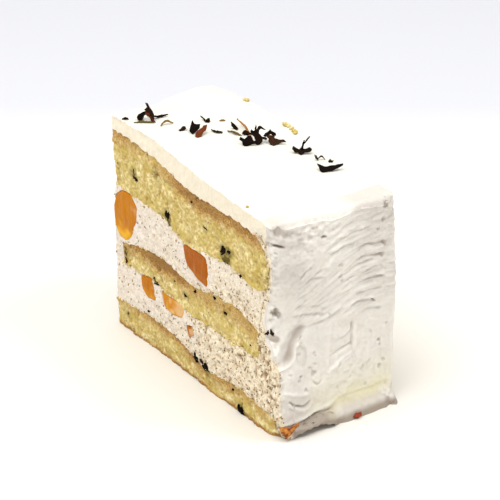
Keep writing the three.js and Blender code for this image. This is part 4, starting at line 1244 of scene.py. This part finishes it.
def finish(colour, relief=None, depth=0.0, soft=None, **same):
    """Links the colour and the relief, its depth in mm. What is the same all over is set on the shader itself."""
    feed(shader.inputs["Base Color"], colour)
    if relief:
        bumps = add_node("ShaderNodeBump", Height=relief, Distance=depth * MM, Strength=1.0)
        feed(shader.inputs["Normal"], bumps.outputs[0])
    if soft:  # how much light goes under the skin, how far in each colour, and that distance in mm
        weight, radius, scale = soft
        same.update(Subsurface_Weight=weight, Subsurface_Radius=radius, Subsurface_Scale=scale * MM)
    for label, value in same.items():
        shader.inputs[label.replace("_", " ")].default_value = value
    print(tree.name, shader.name, len(tree.nodes), "nodes")


# %% Cream
def torn_filling(pore, spotted):
    """Colour of whipped filling: creamy, with painted tan shade in its bubbles, and full of ground tea."""
    lumps = ranged(group_node(uneven, Coarse=0.25, Fine=1.1)["Fine tone"], 0.36, 0.62)
    shaded = mix(spotted, (226, 214, 202), (218, 198, 164))
    base = mix(lumps, shaded, mix(spotted, (242, 234, 224), (247, 238, 217)))
    dust = group_node(specks, Scale=0.7, Share=0.5, Size=0.4)
    grit = group_node(specks, Scale=1.4, Share=0.36, Size=0.28)
    dust_tone = mix(dust["Tone"], (150, 124, 84), (206, 178, 134))
    dusted = mix(times(dust["Mask"], times(spotted, 0.5)), base, dust_tone)
    gritted = mix(times(grit["Mask"], maths("MULTIPLY_ADD", spotted, 0.4, 0.08)), dusted, (136, 110, 78))
    # painted tan shade in the bubbles
    return mix(times(pore, maths("MULTIPLY_ADD", spotted, 0.6, 0.25)), gritted, (168, 132, 88))


cream_look, shader, place = new_material("whipped_cream")
tones = group_node(uneven, Coarse=0.12, Fine=1.1)
colour = mix(times(tones["Coarse tone"], 0.9), (238, 234, 226), (222, 217, 209))
# the top's cream is painted darker than the end's, to offset the strong light on it
colour = mix(value_of("on_top"), colour, mix(tones["Fine tone"], (226, 225, 216), (218, 217, 206)))
# painted shade in hollows, a painted highlight on crests, and painted shade over parts of the end and under its lip
for name, share, tint in (
    ("deep", 0.42, (194, 183, 174)), ("crest", 0.4, (252, 250, 245)), ("dusky", 0.6, (196, 188, 181)),
    ("lip_shade", 0.95, (150, 136, 121)),
):
    colour = mix(times(value_of(name), share), colour, tint)
# painted warm reflection along the foot
colour = mix(times(times(value_of("buttery"), tones["Fine tone"]), 1.5), colour, (230, 223, 182))
streaks = cloudy(0.9, 5.0, Vector=stretched(i3=(1, 1, 0.3)))
colour = mix(value_of("sliced"), colour, mix(ranged(streaks, 0.2, 0.8), (233, 222, 196), (244, 237, 220)))
colour = mix(value_of("torn"), colour, torn_filling(value_of("pore"), value_of("torn")))
finish(colour, cloudy(1.8, 5.0, Roughness=0.6), 0.15, soft=(0.08, (1.0, 0.8, 0.6), 1.0), Roughness=0.5)

# %% Sponge
sponge_look, shader, place = new_material("sponge_crumb")
tones = group_node(uneven, Coarse=0.22, Fine=0.8)
clumps = ranged(tones["Fine tone"], 0.34, 0.66)
pale = mix(ranged(tones["Coarse tone"], 0.36, 0.64), (255, 242, 188), (208, 188, 102))
sandy = cloudy(1.9, 3.0)
brown = mix(tones["Coarse tone"], (126, 84, 34), (184, 136, 72))
browned = mix(ranged(sandy, 0.4, 0.6), brown, (208, 168, 100))
colour = mix(value_of("skin"), mix(clumps, (194, 166, 92), pale), browned)
colour = mix(ranged(value_of("skin"), 0.9, 1.3, 0.7), colour, (134, 92, 38))
colour = mix(times(value_of("stain"), 0.85), colour, mix(clumps, (92, 76, 28), (152, 138, 66)))
# painted shade in the pores
colour = mix(times(value_of("pore"), 0.55), colour, (158, 124, 62))
bits = group_node(specks, Scale=0.5, Share=0.16, Size=0.16)["Mask"]
colour = mix(times(bits, 0.7), colour, (120, 100, 52))
finish(colour, sandy, 0.3, soft=(0.1, (1.0, 0.7, 0.35), 0.8), Roughness=0.85, Specular_IOR_Level=0.3)

# %% Filling
filling_look, shader, place = new_material("speckled_filling")
colour = torn_filling(value_of("pore"), value_of("spotted"))
finish(colour, cloudy(2.4, 5.0, Roughness=0.6), 0.2, soft=(0.1, (1.0, 0.75, 0.5), 0.8), Roughness=0.6)

# %% Peach
peach_look, shader, place = new_material("peach_flesh")
fibre = cloudy(0.8, 4.0, Vector=stretched(i2=(0, 0.5, 0), i3=(1, 1, 0.35)), Distortion=0.6)
ripe = maths("ADD", value_of("flesh"), maths("MULTIPLY_ADD", fibre, 0.4, -0.2))
flesh = ramp(ripe, (0.0, (240, 180, 26)), (0.5, (204, 132, 12)), (1.0, (166, 88, 4)))
colour = mix(times(value_of("smear"), 0.7), flesh, (236, 202, 152))
finish(colour, fibre, 0.2, soft=(0.04, (1.0, 0.6, 0.2), 0.8), Roughness=0.34, Specular_IOR_Level=0.07)

# %% Dry leaf
leaf_look, shader, place = new_material("dry_tea_leaf")
leaf = ramp(
    value_of("tone"), (0.0, (17, 8, 4)), (0.3, (52, 34, 20)), (0.58, (104, 44, 24)), (0.8, (112, 98, 50)),
    (1.0, (164, 118, 66)),
)
veins = cloudy(2.2, 4.0)
shade = mix(veins, (0.45, 0.45, 0.45, 1), (1.5, 1.45, 1.4, 1))
finish(mix(1.0, leaf, shade, "MULTIPLY"), veins, 0.3, Roughness=0.75, Specular_IOR_Level=0.06)

# %% Ground tea
ground_look, shader, place = new_material("ground_tea")
ground = ramp(value_of("tone"), (0.0, (70, 52, 36)), (0.4, (132, 108, 78)), (1.0, (184, 160, 124)))
shade = mix(cloudy(3.0, 3.0), (0.5, 0.5, 0.5, 1), (1.4, 1.4, 1.4, 1))
finish(mix(1.0, ground, shade, "MULTIPLY"), Roughness=0.8, Specular_IOR_Level=0.1)

# %% Browned crust
crust_look, shader, place = new_material("browned_crust")
flecked = cloudy(0.9, 4.0)
orange = mix(ranged(flecked, 0.4, 0.6), (126, 62, 22), (214, 146, 66))
finish(mix(value_of("tone"), orange, (140, 48, 28)), flecked, 0.3, Roughness=0.6, Specular_IOR_Level=0.2)

# %% Give the materials out
for pieces, look in (
    ([cream], cream_look), (sponges.values(), sponge_look), (fillings.values(), filling_look),
    (peaches.values(), peach_look), ([leaves, baked], leaf_look), ([scraps], crust_look), ([crumbs], sponge_look),
):
    for piece in pieces:
        piece.data.materials.clear()
        piece.data.materials.append(look)
        print(piece.name, "is", look.name)

# %% Ground tea in the filling and the sponge
GRAIN_DEPTH = 1.6  # grains lie within this of a cut
grain, crumb_grain = grain_source("grain", 5), grain_source("crumb_grain", 9)
grains = []
for number, (label, piece, density) in enumerate((
    ("filling_upper", fillings["filling_upper"], 0.2), ("filling_lower", fillings["filling_lower"], 0.24),
    ("cream", cream, 0.22), ("sponge_upper", sponges["sponge_upper"], 0.012),
    ("sponge_middle", sponges["sponge_middle"], 0.02), ("sponge_lower", sponges["sponge_lower"], 0.015),
)):
    if piece is not cream:
        x, y, z = points_of(piece).T
        full = (0.3 + 0.7 * smooth(-34, 24, x) * smooth(60, 36, z)) * (z > 0.8)
        put_values(piece, "scatter", full * (inward(x, y, z).min(axis=0) < GRAIN_DEPTH))
    how = {"grain": grain, "density": density, "smallest": 0.4, "largest": 1.2, "material": ground_look}
    grains.append(scatter("tea_grains_" + label, piece, 31 + number, **how))

# %% Crumbs dragged over the filling
for number, (label, piece) in enumerate(fillings.items()):
    x, y, z = points_of(piece).T
    outer_gap, inner_gap = (np.minimum(*(np.abs(z - height(x, y)) for height in pair)) for pair in (
        (upper_sponge_floor, lower_sponge_top), (middle_sponge_top, middle_sponge_floor),
    ))
    beside = (x > MIDDLE_SPONGE_ENDS[0] - 1) & (x < MIDDLE_SPONGE_ENDS[1] + 1)
    gap = np.where(beside, np.minimum(outer_gap, inner_gap), outer_gap)
    put_values(piece, "scatter", (inward(x, y, z).min(axis=0) < GRAIN_DEPTH) * smooth(1.6, 0.2, gap))
    how = {"grain": crumb_grain, "density": 0.5, "smallest": 0.4, "largest": 1.3, "material": sponge_look}
    grains.append(scatter("dragged_crumbs_" + label, piece, 51 + number, **how))
for source in (crumb_grain, grain):
    bpy.data.objects.remove(source)

# %% [markdown]
# ## Riding on the model
# Food doesn't move, so every piece rides on the one body, and the solids that the fine pieces replace are hidden.

# %% Ride and replace
for name, piece in {**sponges, **fillings, **peaches}.items():
    piece.name = "fine_" + name
    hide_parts(name)
for piece in (cream, leaves):
    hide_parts("outer_cream")
for pieces, slot in (
    ([cream], "cream"), (sponges.values(), "sponge"), (fillings.values(), "filling"), (peaches.values(), "peach"),
):
    for piece in pieces:
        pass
for piece in [cream, leaves, baked, scraps, crumbs, *grains, *sponges.values(), *fillings.values(), *peaches.values()]:
    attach(piece, "root")
    print(piece.name, sum(len(p.vertices) - 2 for p in piece.data.polygons), "triangles")

# %% [markdown]
# ## Table and light
# The slice stands on a white table with a pale wall far behind it. Both are one wide sheet whose colour changes far
# from the slice, so that no wall stands in the way of another view. A bright even surround does most of the work.
# One large soft light above gives the top its glare, and two lamps skim over the front cut and the iced end.

# %% Table
HALF = 3.0  # metres
sheet = bpy.data.meshes.new("table")
sheet.from_pydata([(-HALF, -HALF, 0), (HALF, -HALF, 0), (HALF, HALF, 0), (-HALF, HALF, 0)], [], [(0, 1, 2, 3)])
table = add_object("table", sheet)
table_look, shader, place = new_material("white_table")
distance = add_node("ShaderNodeVectorMath", {"operation": "DOT_PRODUCT"}, i0=place, i1=tuple(away)).outputs["Value"]
beyond = ranged(distance, 175.0, 235.0, kind="SMOOTHSTEP")
finish(mix(beyond, (230, 228, 223), (214, 216, 222)), Roughness=0.6, Specular_IOR_Level=0.2)
sheet.materials.append(table_look)

# %% Lights
world = bpy.data.worlds.new("surround")
bpy.context.scene.world = world
world.use_nodes = True
for label, value in (("Color", (1.0, 0.985, 0.97, 1)), ("Strength", 0.6)):
    world.node_tree.nodes["Background"].inputs[label].default_value = value
for name, at, size, watts, colour in (
    ("key", (-0.06, -0.12, 1.05), 1.0, 4.4, (1.0, 0.985, 0.95)),
    ("skim over the front cut", (0.06, -0.42, 1.0), 0.8, 6.3, (1.0, 0.98, 0.95)),
    ("skim over the iced end", (0.4, 0.4, 0.9), 0.3, 3.0, (1.0, 0.985, 0.965)),
):
    light = bpy.data.lights.new(name, "AREA")
    light.shape, light.size, light.energy, light.color = "DISK", size, watts, colour
    stand(add_object(name, light), at, Vector((0, 0, 0.04)) - Vector(at))
    print(name, watts, "W")
bpy.context.scene.view_settings.view_transform = "Standard"
